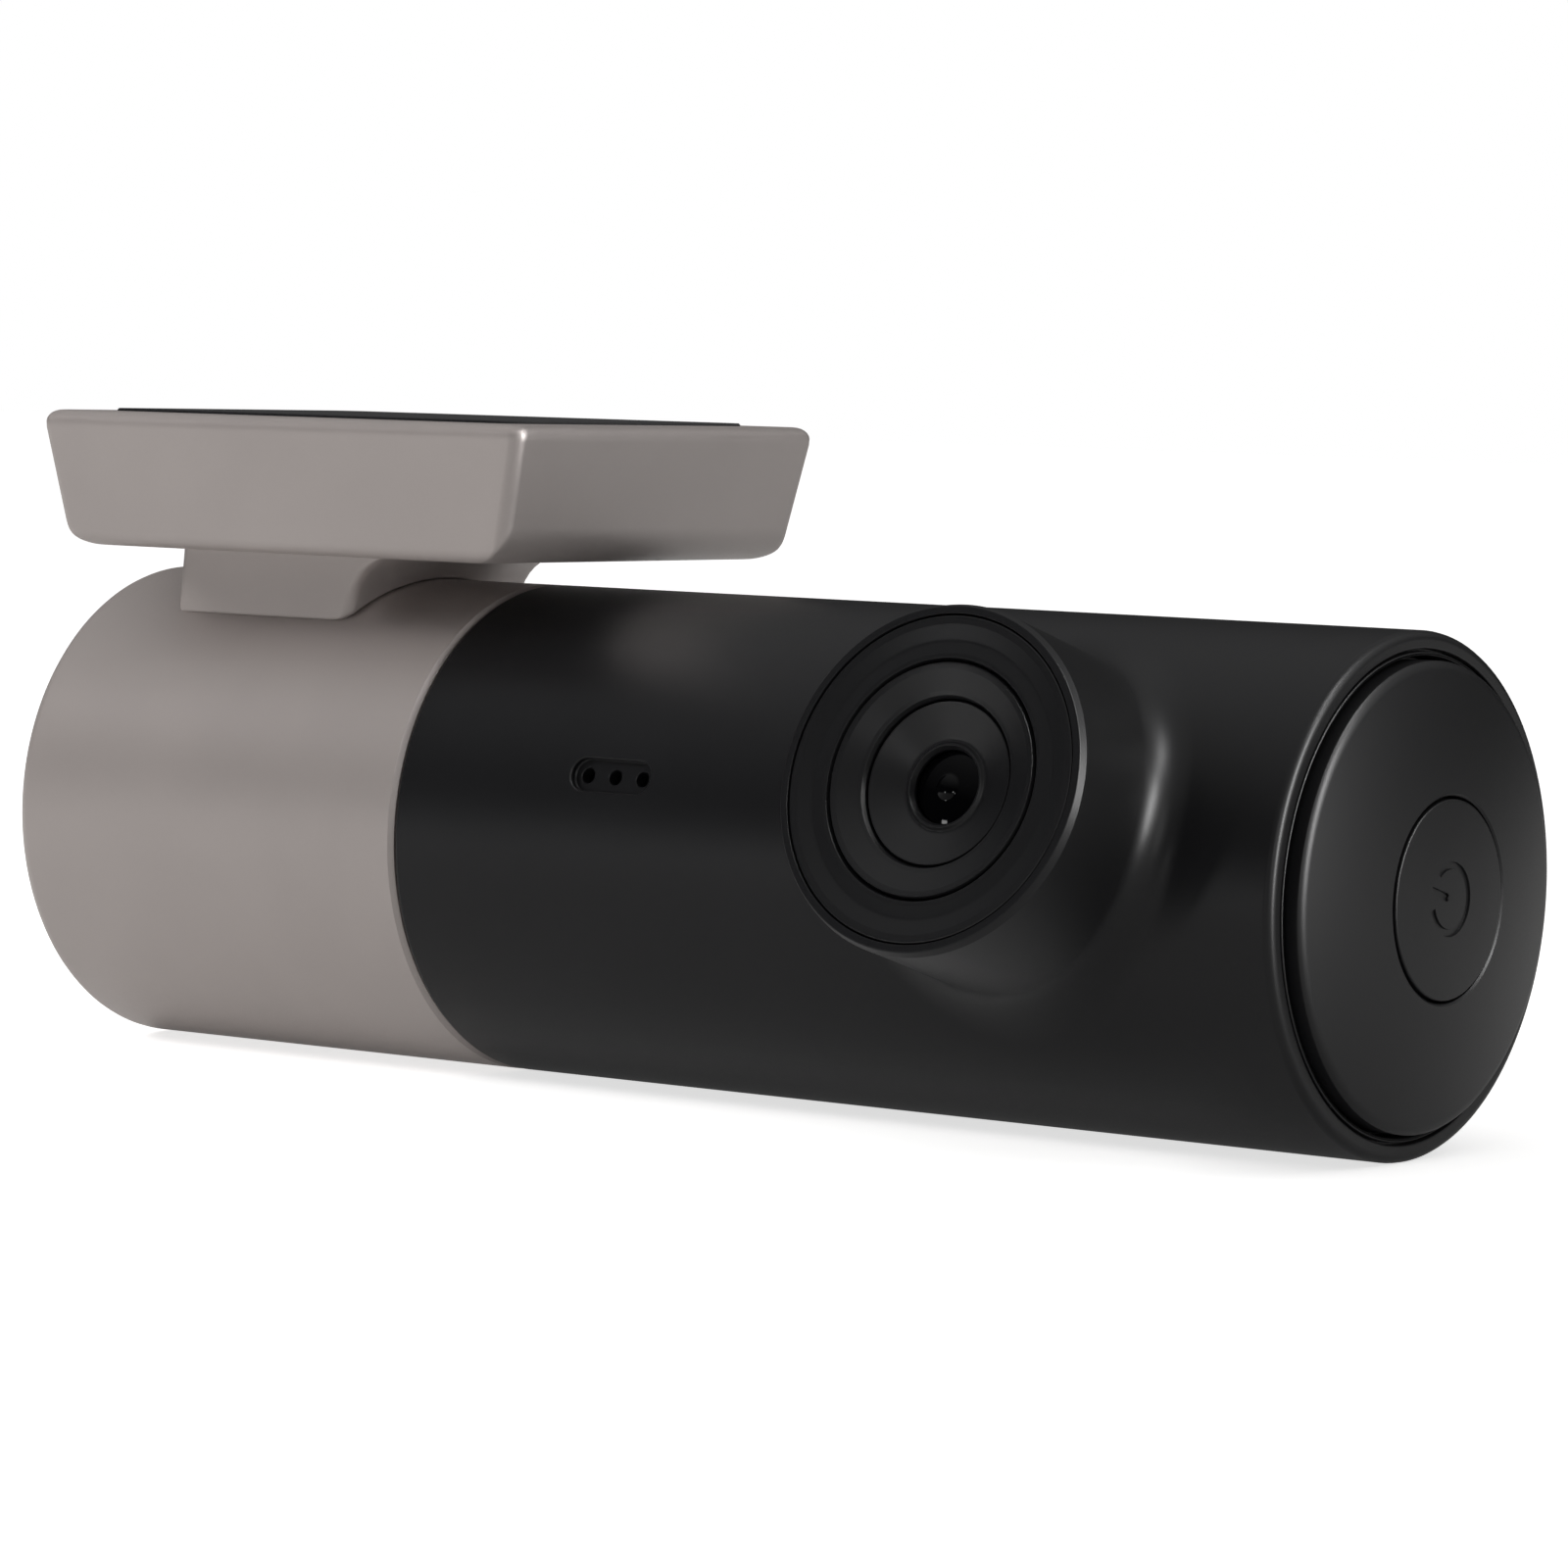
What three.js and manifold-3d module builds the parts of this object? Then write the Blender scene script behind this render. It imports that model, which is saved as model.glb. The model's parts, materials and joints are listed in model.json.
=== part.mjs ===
// A dash camera: a cylindrical camera body that turns in a fixed sleeve hung from an adhesive bracket.
// Millimetres, +Z up. The origin is the centre of the adhesive pad's top face, +X runs along the body
// towards the power button, and the lens looks towards -Y.

import * as THREE from 'three';
import Module from 'manifold-3d';
import { mergeVertices } from 'three/addons/utils/BufferGeometryUtils.js';

const wasm = await Module();
wasm.setup();

// Driving dimensions.
const BODY_R = 18;
const AXIS_Z = -30.2;
const LENS_TILT = THREE.MathUtils.degToRad(16.4);
const SLEEVE_END = -25.5;
const SEAM = 12.4;
const RIM = 87.4;
const LENS_X = 65.7;
const LENS_FACE_H = 27.5;
const BOSS_R = 12.05;
const WALL = 1.6;
const BORE_R = BODY_R - WALL;
const GAP = 0.3;
const SIDES = 48;
const LENS_SIDES = 32;
const SMALL_SIDES = 20;
const SCREW_SIDES = 8;

// Bracket.
const PLATE = { width: 47, depth: 35.6, top: -0.2, bottom: -10.23, taperX: 2.3, taperY: 0.9 };
const NECK = { left: -15.7, right: 0.7, flare: 5.8, halfDepth: 10.1 };
const PAD = { width: 39.6, depth: 28, thickness: 1, recess: 0.8 };
const BRACKET_SCREW = { x: -8, y: 5.5 };

// Sleeve and turning joint.
const SLEEVE_BORE = 16.2;
const SLEEVE_FLOOR = SLEEVE_END + 2.2;
const BEARING = { left: -4, right: -1.5, bore: 7.1, outer: 15.9 };
const SPIGOT = { outer: 7, inner: 4.6, left: -9 };
const POST = { radius: 13.2, size: 2.2 };
const TURN = { down: 120, up: 75, spare: 0.5 };
const STOP = { inner: 9, outer: 10.9, fixedArc: 119.5 };
const USB = { width: 8.94, height: 3.26, length: 7.35, shell: 0.3 };
const USB_BOARD = { left: -17.6, thickness: 1.2 };

// Button end.
const CAP_R = 16;
const CAP_EDGE = 88.4;
const DOME_R = 62.8;
const DOME_TOP = CAP_EDGE + 2.05;
const BUTTON_R = 6.8;
const BUTTON_HOLE = 7;
const SWITCH_TOP = 83.3;

// Electronics, in the camera's own frame: the boards stand upright behind the lens.
const BOARD = { left: 17, right: 76, front: 4.9, thickness: 1.2, halfHeight: 13.4 };
const BOARD_BACK = BOARD.front + BOARD.thickness;
const BOARD_SCREWS = [[19.5, 12.4], [73, -12.4]];
const CARD = { x: 24, y: 7.45, width: 11, length: 15, thickness: 0.9, end: -16.1 };
const MIC = { x: 31.7, z: 0.55, holes: 3, pitch: 2.43 };
const SPEAKER = { x: 40, y: 12.3, width: 18, height: 13, thickness: 3.4 };

const paint = (color, roughness, metalness = 0) =>
  new THREE.MeshStandardMaterial({ color, roughness, metalness });
const MATERIALS = {
  grey: paint(0x9c9491, 0.45, 0.1),
  black: paint(0x1d1d1f, 0.5),
  bezel: paint(0x19191b, 0.4),
  foam: paint(0x232324, 0.95),
  rubber: paint(0x151516, 0.85),
  steel: paint(0xb4b4b6, 0.3, 1),
  aluminium: paint(0xb9bcc0, 0.4, 1),
  brass: paint(0xc8a04c, 0.35, 1),
  board: paint(0x12402c, 0.5),
  chip: paint(0x17181a, 0.6),
  glass: paint(0x1a2230, 0.05),
  nylon: paint(0x35363a, 0.6),
  cream: paint(0xe6e0d2, 0.6),
  can: paint(0x24365a, 0.4),
};

// Shape helpers.

/** A closed geometry with shared vertices, no empty triangles and its faces pointing out. */
function weld(geometry) {
  const bare = geometry.clone();
  bare.deleteAttribute('normal');
  bare.deleteAttribute('uv');
  const merged = mergeVertices(bare, 1e-4);
  const index = Array.from(merged.index.array);
  let kept = [];
  for (let i = 0; i < index.length; i += 3) {
    const [a, b, c] = index.slice(i, i + 3);
    if (a !== b && b !== c && c !== a) kept.push(a, b, c);
  }
  if (signedVolume(merged.attributes.position, kept) < 0) kept = kept.reverse();
  merged.setIndex(kept);
  return merged;
}

function signedVolume(position, index) {
  const [a, b, c] = [new THREE.Vector3(), new THREE.Vector3(), new THREE.Vector3()];
  let sum = 0;
  for (let i = 0; i < index.length; i += 3) {
    a.fromBufferAttribute(position, index[i]);
    b.fromBufferAttribute(position, index[i + 1]);
    c.fromBufferAttribute(position, index[i + 2]);
    sum += a.dot(b.cross(c));
  }
  return sum;
}

function toManifold(geometry) {
  const welded = weld(geometry);
  const vertProperties = new Float32Array(welded.attributes.position.array);
  const triVerts = new Uint32Array(welded.index.array);
  return new wasm.Manifold(new wasm.Mesh({ numProp: 3, vertProperties, triVerts }));
}

function fromManifold(solid) {
  const { vertProperties, triVerts } = solid.getMesh();
  const geometry = new THREE.BufferGeometry();
  geometry.setAttribute('position', new THREE.BufferAttribute(new Float32Array(vertProperties), 3));
  geometry.setIndex(new THREE.BufferAttribute(new Uint32Array(triVerts), 1));
  return geometry;
}

/** One geometry with the `added` ones joined on and then the `removed` ones cut away. */
function combine(base, added, removed) {
  let solid = toManifold(base);
  for (const geometry of added) solid = solid.add(toManifold(geometry));
  for (const geometry of removed) solid = solid.subtract(toManifold(geometry));
  return fromManifold(solid);
}

const cut = (base, ...removed) => combine(base, [], removed);

/** A solid of revolution about +Y from [radius, height] pairs, closed on the axis or on itself. */
function spin(profile, sides = SMALL_SIDES) {
  const points = profile.map(([radius, height]) => new THREE.Vector2(radius, height));
  return weld(new THREE.LatheGeometry(points, sides));
}

/** The same about +X: pairs are [radius, x]. */
const spinX = (profile, sides = SIDES) => spin(profile, sides).rotateZ(-Math.PI / 2);

/** The same about the lens axis: pairs are [radius, height above the body's axis towards the road]. */
const spinLens = (profile, sides = LENS_SIDES) => spin(profile, sides).rotateX(Math.PI).translate(LENS_X, 0, 0);

/** A closed [radius, height] loop for a plain ring. */
const ring = (inner, outer, low, high) =>
  [[inner, low], [outer, low], [outer, high], [inner, high], [inner, low]];

/** A plain cylinder along +X, +Y or +Z between two ends, centred on the other two coordinates. */
function rod(axis, radius, low, high, a = 0, b = 0, sides = SMALL_SIDES) {
  const geometry = new THREE.CylinderGeometry(radius, radius, high - low, sides);
  const middle = (low + high) / 2;
  if (axis === 'x') return geometry.rotateZ(-Math.PI / 2).translate(middle, a, b);
  if (axis === 'z') return geometry.rotateX(Math.PI / 2).translate(a, b, middle);
  return geometry.translate(a, middle, b);
}

/** A box between two corners. */
function box(low, high) {
  const size = high.map((value, i) => value - low[i]);
  const middle = high.map((value, i) => (value + low[i]) / 2);
  return new THREE.BoxGeometry(...size).translate(...middle);
}

/** A rounded rectangle centred on the origin. */
function roundedRect(width, height, radius) {
  const [x, y] = [width / 2, height / 2];
  const shape = new THREE.Shape();
  shape.moveTo(-x + radius, -y);
  shape.lineTo(x - radius, -y);
  shape.absarc(x - radius, -y + radius, radius, -Math.PI / 2, 0);
  shape.lineTo(x, y - radius);
  shape.absarc(x - radius, y - radius, radius, 0, Math.PI / 2);
  shape.lineTo(-x + radius, y);
  shape.absarc(-x + radius, y - radius, radius, Math.PI / 2, Math.PI);
  shape.lineTo(-x, -y + radius);
  shape.absarc(-x + radius, -y + radius, radius, Math.PI, Math.PI * 1.5);
  return shape;
}

/** A straight extrusion along +Z from z = 0. */
const extrude = (shape, depth, curveSegments = 6) =>
  new THREE.ExtrudeGeometry(shape, { depth, bevelEnabled: false, curveSegments });

/** A sector of a ring about the X axis; angles are in degrees from +Y towards +Z. */
function sectorX(inner, outer, start, arc, low, high) {
  const from = THREE.MathUtils.degToRad(start);
  const to = THREE.MathUtils.degToRad(start + arc);
  const shape = new THREE.Shape();
  shape.absarc(0, 0, outer, from, to, false);
  shape.absarc(0, 0, inner, to, from, true);
  const geometry = extrude(shape, high - low, Math.max(4, Math.round(arc / 8)));
  return geometry.rotateY(Math.PI / 2).rotateX(Math.PI / 2).translate(low, 0, 0);
}

/** A pan-head screw along +Y: the underside of its head is at y = 0 and the shank goes down. */
const screw = (headR, headH, shankR, length) =>
  spin([[0, -length], [shankR, -length], [shankR, 0], [headR, 0], [headR, headH * 0.6],
    [headR * 0.7, headH], [0, headH]], SCREW_SIDES);

const root = new THREE.Group();
const camera = new THREE.Group();
camera.position.z = AXIS_Z;
camera.rotation.x = -LENS_TILT;
const fixed = new THREE.Group();
fixed.position.z = AXIS_Z;
root.add(camera, fixed);

function place(group, name, material, geometry, position = [0, 0, 0], direction = null) {
  const mesh = new THREE.Mesh(weld(geometry), MATERIALS[material]);
  mesh.name = name;
  mesh.position.set(...position);
  if (direction) {
    mesh.quaternion.setFromUnitVectors(new THREE.Vector3(0, 1, 0), new THREE.Vector3(...direction));
  }
  group.add(mesh);
}

// The bracket and its pad, in the row's own frame.

/** The plate: a rounded slab whose sides lean in towards the bottom, with rounded lower edges. */
function plateGeometry() {
  const { width, depth, top, bottom, taperX, taperY } = PLATE;
  const edge = 0.6;
  const height = top - bottom;
  const shape = roundedRect(width - 2 * edge, depth - 2 * edge, 1.2);
  const slab = new THREE.ExtrudeGeometry(shape, {
    depth: height - 2 * edge, bevelSize: edge, bevelThickness: edge, bevelSegments: 2, curveSegments: 4,
  });
  slab.translate(0, 0, bottom + edge);
  const position = slab.attributes.position;
  for (let i = 0; i < position.count; i++) {
    const lean = (top - position.getZ(i)) / height;
    position.setX(i, position.getX(i) * (1 - (2 * taperX * lean) / width));
    position.setY(i, position.getY(i) * (1 - (2 * taperY * lean) / depth));
  }
  return slab;
}

/** The neck: straight on the left, flaring in a hollow curve into the plate on the right. */
function neckGeometry() {
  const { left, right, flare, halfDepth } = NECK;
  const foot = AXIS_Z + Math.sqrt(BODY_R ** 2 - halfDepth ** 2);
  const high = PLATE.bottom + 1.5;
  const shape = new THREE.Shape();
  shape.moveTo(left, foot);
  shape.lineTo(right - 1, foot);
  shape.quadraticCurveTo(right, foot, right + 0.2, foot + 1.2);
  shape.quadraticCurveTo(right + 1, PLATE.bottom, right + flare, PLATE.bottom);
  shape.lineTo(right + flare, high);
  shape.lineTo(left, high);
  return extrude(shape, 2 * halfDepth, 5).rotateX(Math.PI / 2).translate(0, halfDepth, 0);
}

function buildBracket() {
  const recess = extrude(roundedRect(PAD.width + 0.4, PAD.depth + 0.4, 2.2), PAD.recess + 1, 4);
  recess.translate(0, 0, PLATE.top - PAD.recess);
  const saddle = rod('x', BODY_R + 0.25, -30, 30, 0, AXIS_Z, SIDES);
  const pilots = [-1, 1].map((side) =>
    rod('z', 1.3, AXIS_Z + 15, AXIS_Z + 24.4, BRACKET_SCREW.x, side * BRACKET_SCREW.y, 12));
  const blank = combine(plateGeometry(), [neckGeometry()], [recess, saddle, ...pilots]);
  place(root, 'mount_bracket', 'grey', blank);
  const pad = extrude(roundedRect(PAD.width, PAD.depth, 2), PAD.thickness, 4);
  place(root, 'adhesive_pad', 'foam', pad, [0, 0, -PAD.thickness]);
  [-1, 1].forEach((side, i) => place(fixed, `bracket_screw_${i + 1}`, 'steel', screw(2, 1.3, 1.1, 9),
    [BRACKET_SCREW.x, side * BRACKET_SCREW.y, 14.1], [0, 0, -1]));
}

// The sleeve and what is fixed inside it, in a frame on the body's axis.

const postAngles = [30, 150, 270].map((angle) => THREE.MathUtils.degToRad(angle));
const postAt = (angle) => [POST.radius * Math.cos(angle), POST.radius * Math.sin(angle)];

function buildSleeve() {
  const round = { axial: 2.1, radial: 3.67 };
  const corner = [];
  for (let i = 0; i <= 4; i++) {
    const turn = (i / 4) * (Math.PI / 2);
    corner.push([BODY_R - round.radial * (1 - Math.sin(turn)),
      SLEEVE_END + round.axial * (1 - Math.cos(turn))]);
  }
  const shell = spinX([[0, SLEEVE_END], ...corner, [BODY_R, SEAM - 0.4], [BODY_R - 0.35, SEAM],
    [SLEEVE_BORE, SEAM], [SLEEVE_BORE, SLEEVE_FLOOR], [0, SLEEVE_FLOOR]]);
  const posts = postAngles.map((angle) =>
    rod('x', POST.size, SLEEVE_FLOOR - 0.5, BEARING.left - GAP, ...postAt(angle), 20));
  const feet = [-1, 1].map((side) =>
    rod('x', 1.9, SLEEVE_FLOOR - 0.5, USB_BOARD.left - GAP, side * 6.6, -6, 12));
  const port = extrude(roundedRect(USB.height + 0.5, USB.width + 0.5, (USB.height + 0.4) / 2), 6, 5);
  port.rotateY(Math.PI / 2).translate(SLEEVE_END - 2, 0, 0);
  const holes = [port];
  postAngles.forEach((angle) => holes.push(rod('x', 1.1, -14, 0, ...postAt(angle), 12)));
  [-1, 1].forEach((side) => {
    holes.push(rod('x', 1, -21.5, -15, side * 6.6, -6, 12));
    holes.push(rod('z', 1.3, 12, 20, BRACKET_SCREW.x, side * BRACKET_SCREW.y, 12));
  });
  place(fixed, 'mount_sleeve', 'grey', combine(shell, [...posts, ...feet], holes));
}

/** The plate that the camera's spigot turns in, with a raised arc that limits the turn. */
function buildBearing() {
  const { left, right, bore, outer } = BEARING;
  const holes = postAngles.map((angle) => rod('x', 1.3, left - 1, right + 1, ...postAt(angle), 12));
  const arc = sectorX(STOP.inner, STOP.outer, -STOP.fixedArc / 2, STOP.fixedArc, right - 0.5, 1.6);
  const plate = spinX(ring(bore, outer, left, right));
  place(fixed, 'bearing_plate', 'nylon', combine(plate, [arc], holes));
  postAngles.forEach((angle, i) => place(fixed, `bearing_screw_${i + 1}`, 'steel',
    screw(1.7, 1.1, 0.9, 9), [right + 0.1, ...postAt(angle)], [1, 0, 0]));
}

/** The charging socket on its small board, facing out of the sleeve's closed end. */
function buildUsb() {
  const outer = extrude(roundedRect(USB.height, USB.width, USB.height / 2 - 0.05), USB.length, 5);
  const inside = extrude(roundedRect(USB.height - 2 * USB.shell, USB.width - 2 * USB.shell,
    USB.height / 2 - USB.shell - 0.05), USB.length - 1, 5).translate(0, 0, -0.5);
  const tongue = new THREE.BoxGeometry(0.7, 6.6, USB.length - 2).translate(0, 0, USB.length / 2);
  const socket = combine(cut(outer, inside), [tongue], []);
  place(fixed, 'usb_c_socket', 'steel', socket.rotateY(Math.PI / 2), [SLEEVE_END + 0.25, 0, 0]);
  const { left, thickness } = USB_BOARD;
  const board = cut(box([left, -9, -9], [left + thickness, 9, 7.6]),
    ...[-1, 1].map((side) => rod('x', 1.1, left - 1, left + 3, side * 6.6, -6, 12)));
  place(fixed, 'usb_board', 'board', board);
  const top = left + thickness;
  [-1, 1].forEach((side, i) => place(fixed, `usb_board_screw_${i + 1}`, 'steel',
    screw(1.6, 1, 0.8, 4), [top + 0.1, side * 6.6, -6], [1, 0, 0]));
  place(fixed, 'harness_header', 'cream', box([top + 0.1, -2.5, -2], [top + 3.5, 2.5, 2]));
}

// The camera body's shell.

/** The lens boss: a short cylinder whose foot spreads in a hollow curve onto the round body. */
function bossGeometry() {
  const foot = 3;
  const rows = 8;
  const boss = new THREE.CylinderGeometry(BOSS_R, BOSS_R, 1, 40, rows);
  const position = boss.attributes.position;
  for (let i = 0; i < position.count; i++) {
    const row = Math.round((0.5 - position.getY(i)) * rows);
    const flat = Math.hypot(position.getX(i), position.getZ(i));
    const turn = Math.atan2(position.getZ(i), position.getX(i));
    const [radius, height] = bossRing(row, rows, turn, foot);
    const spread = flat < 1e-6 ? 0 : radius;
    position.setXYZ(i, spread * Math.cos(turn), flat < 1e-6 && row > 0 ? 6 : height, spread * Math.sin(turn));
  }
  return boss.rotateX(Math.PI).translate(LENS_X, 0, 0);
}

/** Radius and height of one ring of the boss: edge round, straight side, foot curve, buried skirt. */
function bossRing(row, rows, turn, foot) {
  if (row === 0) return [BOSS_R - 0.6, LENS_FACE_H];
  if (row === 1) return [BOSS_R - 0.18, LENS_FACE_H - 0.18];
  if (row === 2) return [BOSS_R, LENS_FACE_H - 0.6];
  const step = row === rows ? 1 : (row - 3) / (rows - 4);
  const angle = (step * Math.PI) / 2;
  const radius = BOSS_R + foot * (1 - Math.cos(angle));
  const surface = Math.sqrt(BODY_R ** 2 - (radius * Math.sin(turn)) ** 2);
  const height = surface + foot * (1 - Math.sin(angle));
  return row === rows ? [radius - 0.4, surface - 1.6] : [radius, height - 0.05 * step];
}

const pillCut = (width, height, depth) => extrude(roundedRect(width, height, height / 2 - 0.01), depth, 5);

function buildHousing() {
  const outer = spinX([[0, 8.5], [15.8, 8.5], [15.8, SEAM + 0.35], [BODY_R - 0.2, SEAM + 0.35],
    [BODY_R, SEAM + 0.55], [BODY_R, RIM - 0.6], [BODY_R - 0.18, RIM - 0.18],
    [BODY_R - 0.6, RIM], [0, RIM]]);
  const cavity = spinX([[0, 8], [14.2, 8], [14.2, 14.5], [BORE_R, 14.5], [BORE_R, RIM - 0.5],
    [16.75, RIM - 0.5], [16.75, RIM + 1], [0, RIM + 1]]);
  const lensBore = spinLens([[0, 9], [10.2, 9], [10.2, 24.6], [11.3, 24.6], [11.3, 28], [0, 28]]);
  const micSlot = pillCut(7.1, 2.4, 3).rotateX(Math.PI / 2).translate(MIC.x, 0.6 - BODY_R, MIC.z);
  const cardSlot = box([CARD.x - 6.1, CARD.y - 0.9, -20], [CARD.x + 6.1, CARD.y + 0.9, -12]);
  const removed = [cavity, lensBore, micSlot, cardSlot];
  for (let i = 0; i < MIC.holes; i++) {
    const x = MIC.x + (i - (MIC.holes - 1) / 2) * MIC.pitch;
    removed.push(rod('y', 0.55, -19, -15, x, MIC.z, 10));
  }
  for (let column = -2; column <= 2; column++) {
    for (let row = -1; row <= 1; row++) {
      removed.push(rod('y', 0.7, 14, 19, SPEAKER.x + 3 * column, 3 * row, 8));
    }
  }
  for (let i = 0; i < 5; i++) {
    removed.push(box([54 + 4 * i, 12, -5], [55.4 + 4 * i, 19, 5]));
  }
  place(camera, 'main_housing', 'black', combine(outer, [bossGeometry()], removed));
}

/** The bulkhead with the hollow spigot that the camera turns on, and its stop rib. */
function buildPivot() {
  const ribArc = 360 - STOP.fixedArc - TURN.down - TURN.up - 2 * TURN.spare;
  const ribStart = STOP.fixedArc / 2 + TURN.spare + TURN.up + THREE.MathUtils.radToDeg(LENS_TILT);
  const { outer, inner, left } = SPIGOT;
  const shoulder = BEARING.right + GAP;
  const body = spinX([[inner, left], [outer, left], [outer, shoulder], [8.6, shoulder], [8.6, 9],
    [13.9, 9], [13.9, 11.4], [inner, 11.4], [inner, left]]);
  const rib = sectorX(STOP.inner, STOP.outer, ribStart, ribArc, BEARING.right + 0.4, 9.5);
  place(camera, 'pivot_bulkhead', 'nylon', combine(body, [rib], []));
  place(camera, 'friction_washer', 'rubber', spinX(ring(7.3, 10.1, -5.1, -4.3), LENS_SIDES));
  place(camera, 'wave_spring', 'steel', waveSpring());
  const notches = [45, 135, 225, 315].map((angle) =>
    sectorX(9.3, 11, angle - 8, 16, left - 1, left + 3));
  const nut = spinX(ring(7.2, 10.2, left, left + 2), LENS_SIDES);
  place(camera, 'retaining_nut', 'brass', cut(nut, ...notches));
}

/** A thin ring bent into three waves. */
function waveSpring() {
  const spring = spinX(ring(7.3, 9.8, -6.05, -5.75), 36);
  const position = spring.attributes.position;
  for (let i = 0; i < position.count; i++) {
    const turn = Math.atan2(position.getZ(i), position.getY(i));
    position.setX(i, position.getX(i) + 0.3 * Math.sin(3 * turn));
  }
  return spring;
}

// The button end.

const domeAt = (radius) => DOME_TOP - DOME_R + Math.sqrt(DOME_R ** 2 - radius ** 2);

/** Points on the dome's curve between two radii. */
function domeCurve(from, to, steps) {
  const points = [];
  for (let i = 0; i <= steps; i++) {
    const radius = from + ((to - from) * i) / steps;
    points.push([radius, domeAt(radius)]);
  }
  return points;
}

function buildEndCap() {
  const hole = BUTTON_HOLE;
  const cap = spinX([...domeCurve(CAP_R - 0.25, hole + 0.15, 3), [hole, domeAt(hole) - 0.15], [hole, 85.6],
    [8.3, 85.6], [8.3, 87.6], [14, 86.9], [14, 82.5], [15.3, 82.5], [15.3, 86], [CAP_R, 86],
    [CAP_R, CAP_EDGE - 0.2], [CAP_R - 0.25, domeAt(CAP_R - 0.25)]]);
  place(camera, 'end_cap', 'black', cap);
  place(camera, 'end_cap_seal', 'rubber', spinX(ring(15.6, 16.1, 84.4, 85.6), 40));
  const top = domeCurve(BUTTON_R - 0.15, 0, 2);
  const button = spinX([[0, SWITCH_TOP + 0.5], [1.6, SWITCH_TOP + 0.5], [1.6, 84.9], [7.9, 84.9],
    [7.9, 85.3], [BUTTON_R, 85.3], [BUTTON_R, domeAt(BUTTON_R) - 0.15], ...top], 40);
  const power = sectorX(2, 2.5, 120, 300, 90, 92);
  const bar = box([90, -0.25, 1.4], [92, 0.25, 3.2]);
  place(camera, 'power_button', 'black', cut(button, power, bar));
  place(camera, 'switch_board', 'board', rod('x', 12, 80, 81.2, 0, 0, LENS_SIDES));
  const body = box([81.5, -3, -3], [82.9, 3, 3]);
  place(camera, 'tact_switch', 'chip', combine(body, [rod('x', 1.6, 82.5, SWITCH_TOP, 0, 0, 16)], []));
}

// The lens stack. Heights run from the body's axis out through the lens.

/** A lens element: a flat-edged disc with domed faces. */
function lensElement(radius, low, high, bulgeLow, bulgeHigh) {
  const profile = [[0, low - bulgeLow]];
  for (let i = 1; i <= 3; i++) profile.push([(radius * i) / 3, low - bulgeLow * (1 - (i / 3) ** 2)]);
  for (let i = 3; i >= 1; i--) profile.push([(radius * i) / 3, high + bulgeHigh * (1 - (i / 3) ** 2)]);
  profile.push([0, high + bulgeHigh]);
  return spinLens(profile, 16);
}

function buildLens() {
  place(camera, 'lens_bezel', 'bezel', spinLens([[8.15, 24.9], [11.05, 24.9], [11.05, 27.2], [10.9, 27.35],
    [8.3, 27.15], [8.15, 27], [8.15, 24.9]], 40));
  place(camera, 'lens_inner_ring', 'bezel', spinLens([[5.9, 24.9], [7.85, 24.9], [7.85, 27.05], [7.75, 27.15],
    [6, 26.6], [5.9, 26.5], [5.9, 24.9]]));
  place(camera, 'lens_face_plate', 'bezel', spinLens([[2.55, 24.95], [5.65, 24.95], [5.65, 25.95], [2.8, 25.4],
    [2.55, 25.2], [2.55, 24.95]], 24));
  place(camera, 'lens_barrel', 'bezel', spinLens([[3.9, 9.5], [6, 9.5], [6, 24.6], [3.9, 24.6], [3.9, 9.5]], 24));
  place(camera, 'lens_front_element', 'glass', lensElement(3.6, 21.5, 23.3, 0.4, 1.4));
  place(camera, 'lens_middle_element', 'glass', lensElement(3.6, 15.5, 17, 0.4, 0.6));
  place(camera, 'lens_rear_element', 'glass', lensElement(3.6, 10.8, 12, 0.5, 0.5));
}

/** Square pieces of the imaging stack sit on the lens axis, from one height to another. */
const slabLens = (half, low, high) =>
  box([LENS_X - half, -high, -half], [LENS_X + half, -low, half]);

function buildImager() {
  const corners = [[-1, -1], [1, 1]].map(([x, z]) => [LENS_X + 7.2 * x, 7.2 * z]);
  const holderHoles = corners.map(([x, z]) => rod('y', 0.9, -8, -4, x, z, 12));
  const boardHoles = corners.map(([x, z]) => rod('y', 1, -4.5, -2, x, z, 12));
  const tube = spinLens([[0, 7], [7.6, 7], [7.6, 16], [0, 16]], 24);
  const bore = spinLens([[0, 6.9], [6.3, 6.9], [6.3, 17], [0, 17]], 24);
  const holder = combine(slabLens(8.8, 4.4, 7.6), [tube], [bore, slabLens(5.2, 4, 7.05), ...holderHoles]);
  place(camera, 'lens_holder', 'nylon', holder);
  place(camera, 'infrared_filter', 'glass', slabLens(4.2, 6.2, 6.6));
  place(camera, 'image_sensor', 'chip', slabLens(4.5, 4.4, 5.4));
  place(camera, 'sensor_board', 'board', cut(slabLens(9.5, 2.9, 4.1), ...boardHoles));
  corners.forEach(([x, z], i) => place(camera, `lens_holder_screw_${i + 1}`, 'steel',
    screw(1.4, 0.9, 0.7, 4), [x, -2.8, z], [0, 1, 0]));
  place(camera, 'sensor_connector', 'cream',
    box([LENS_X - 5, -2.6, -6.6], [LENS_X + 5, BOARD.front - GAP, -3.4]));
}

// The chassis, the main board and what it carries.

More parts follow.
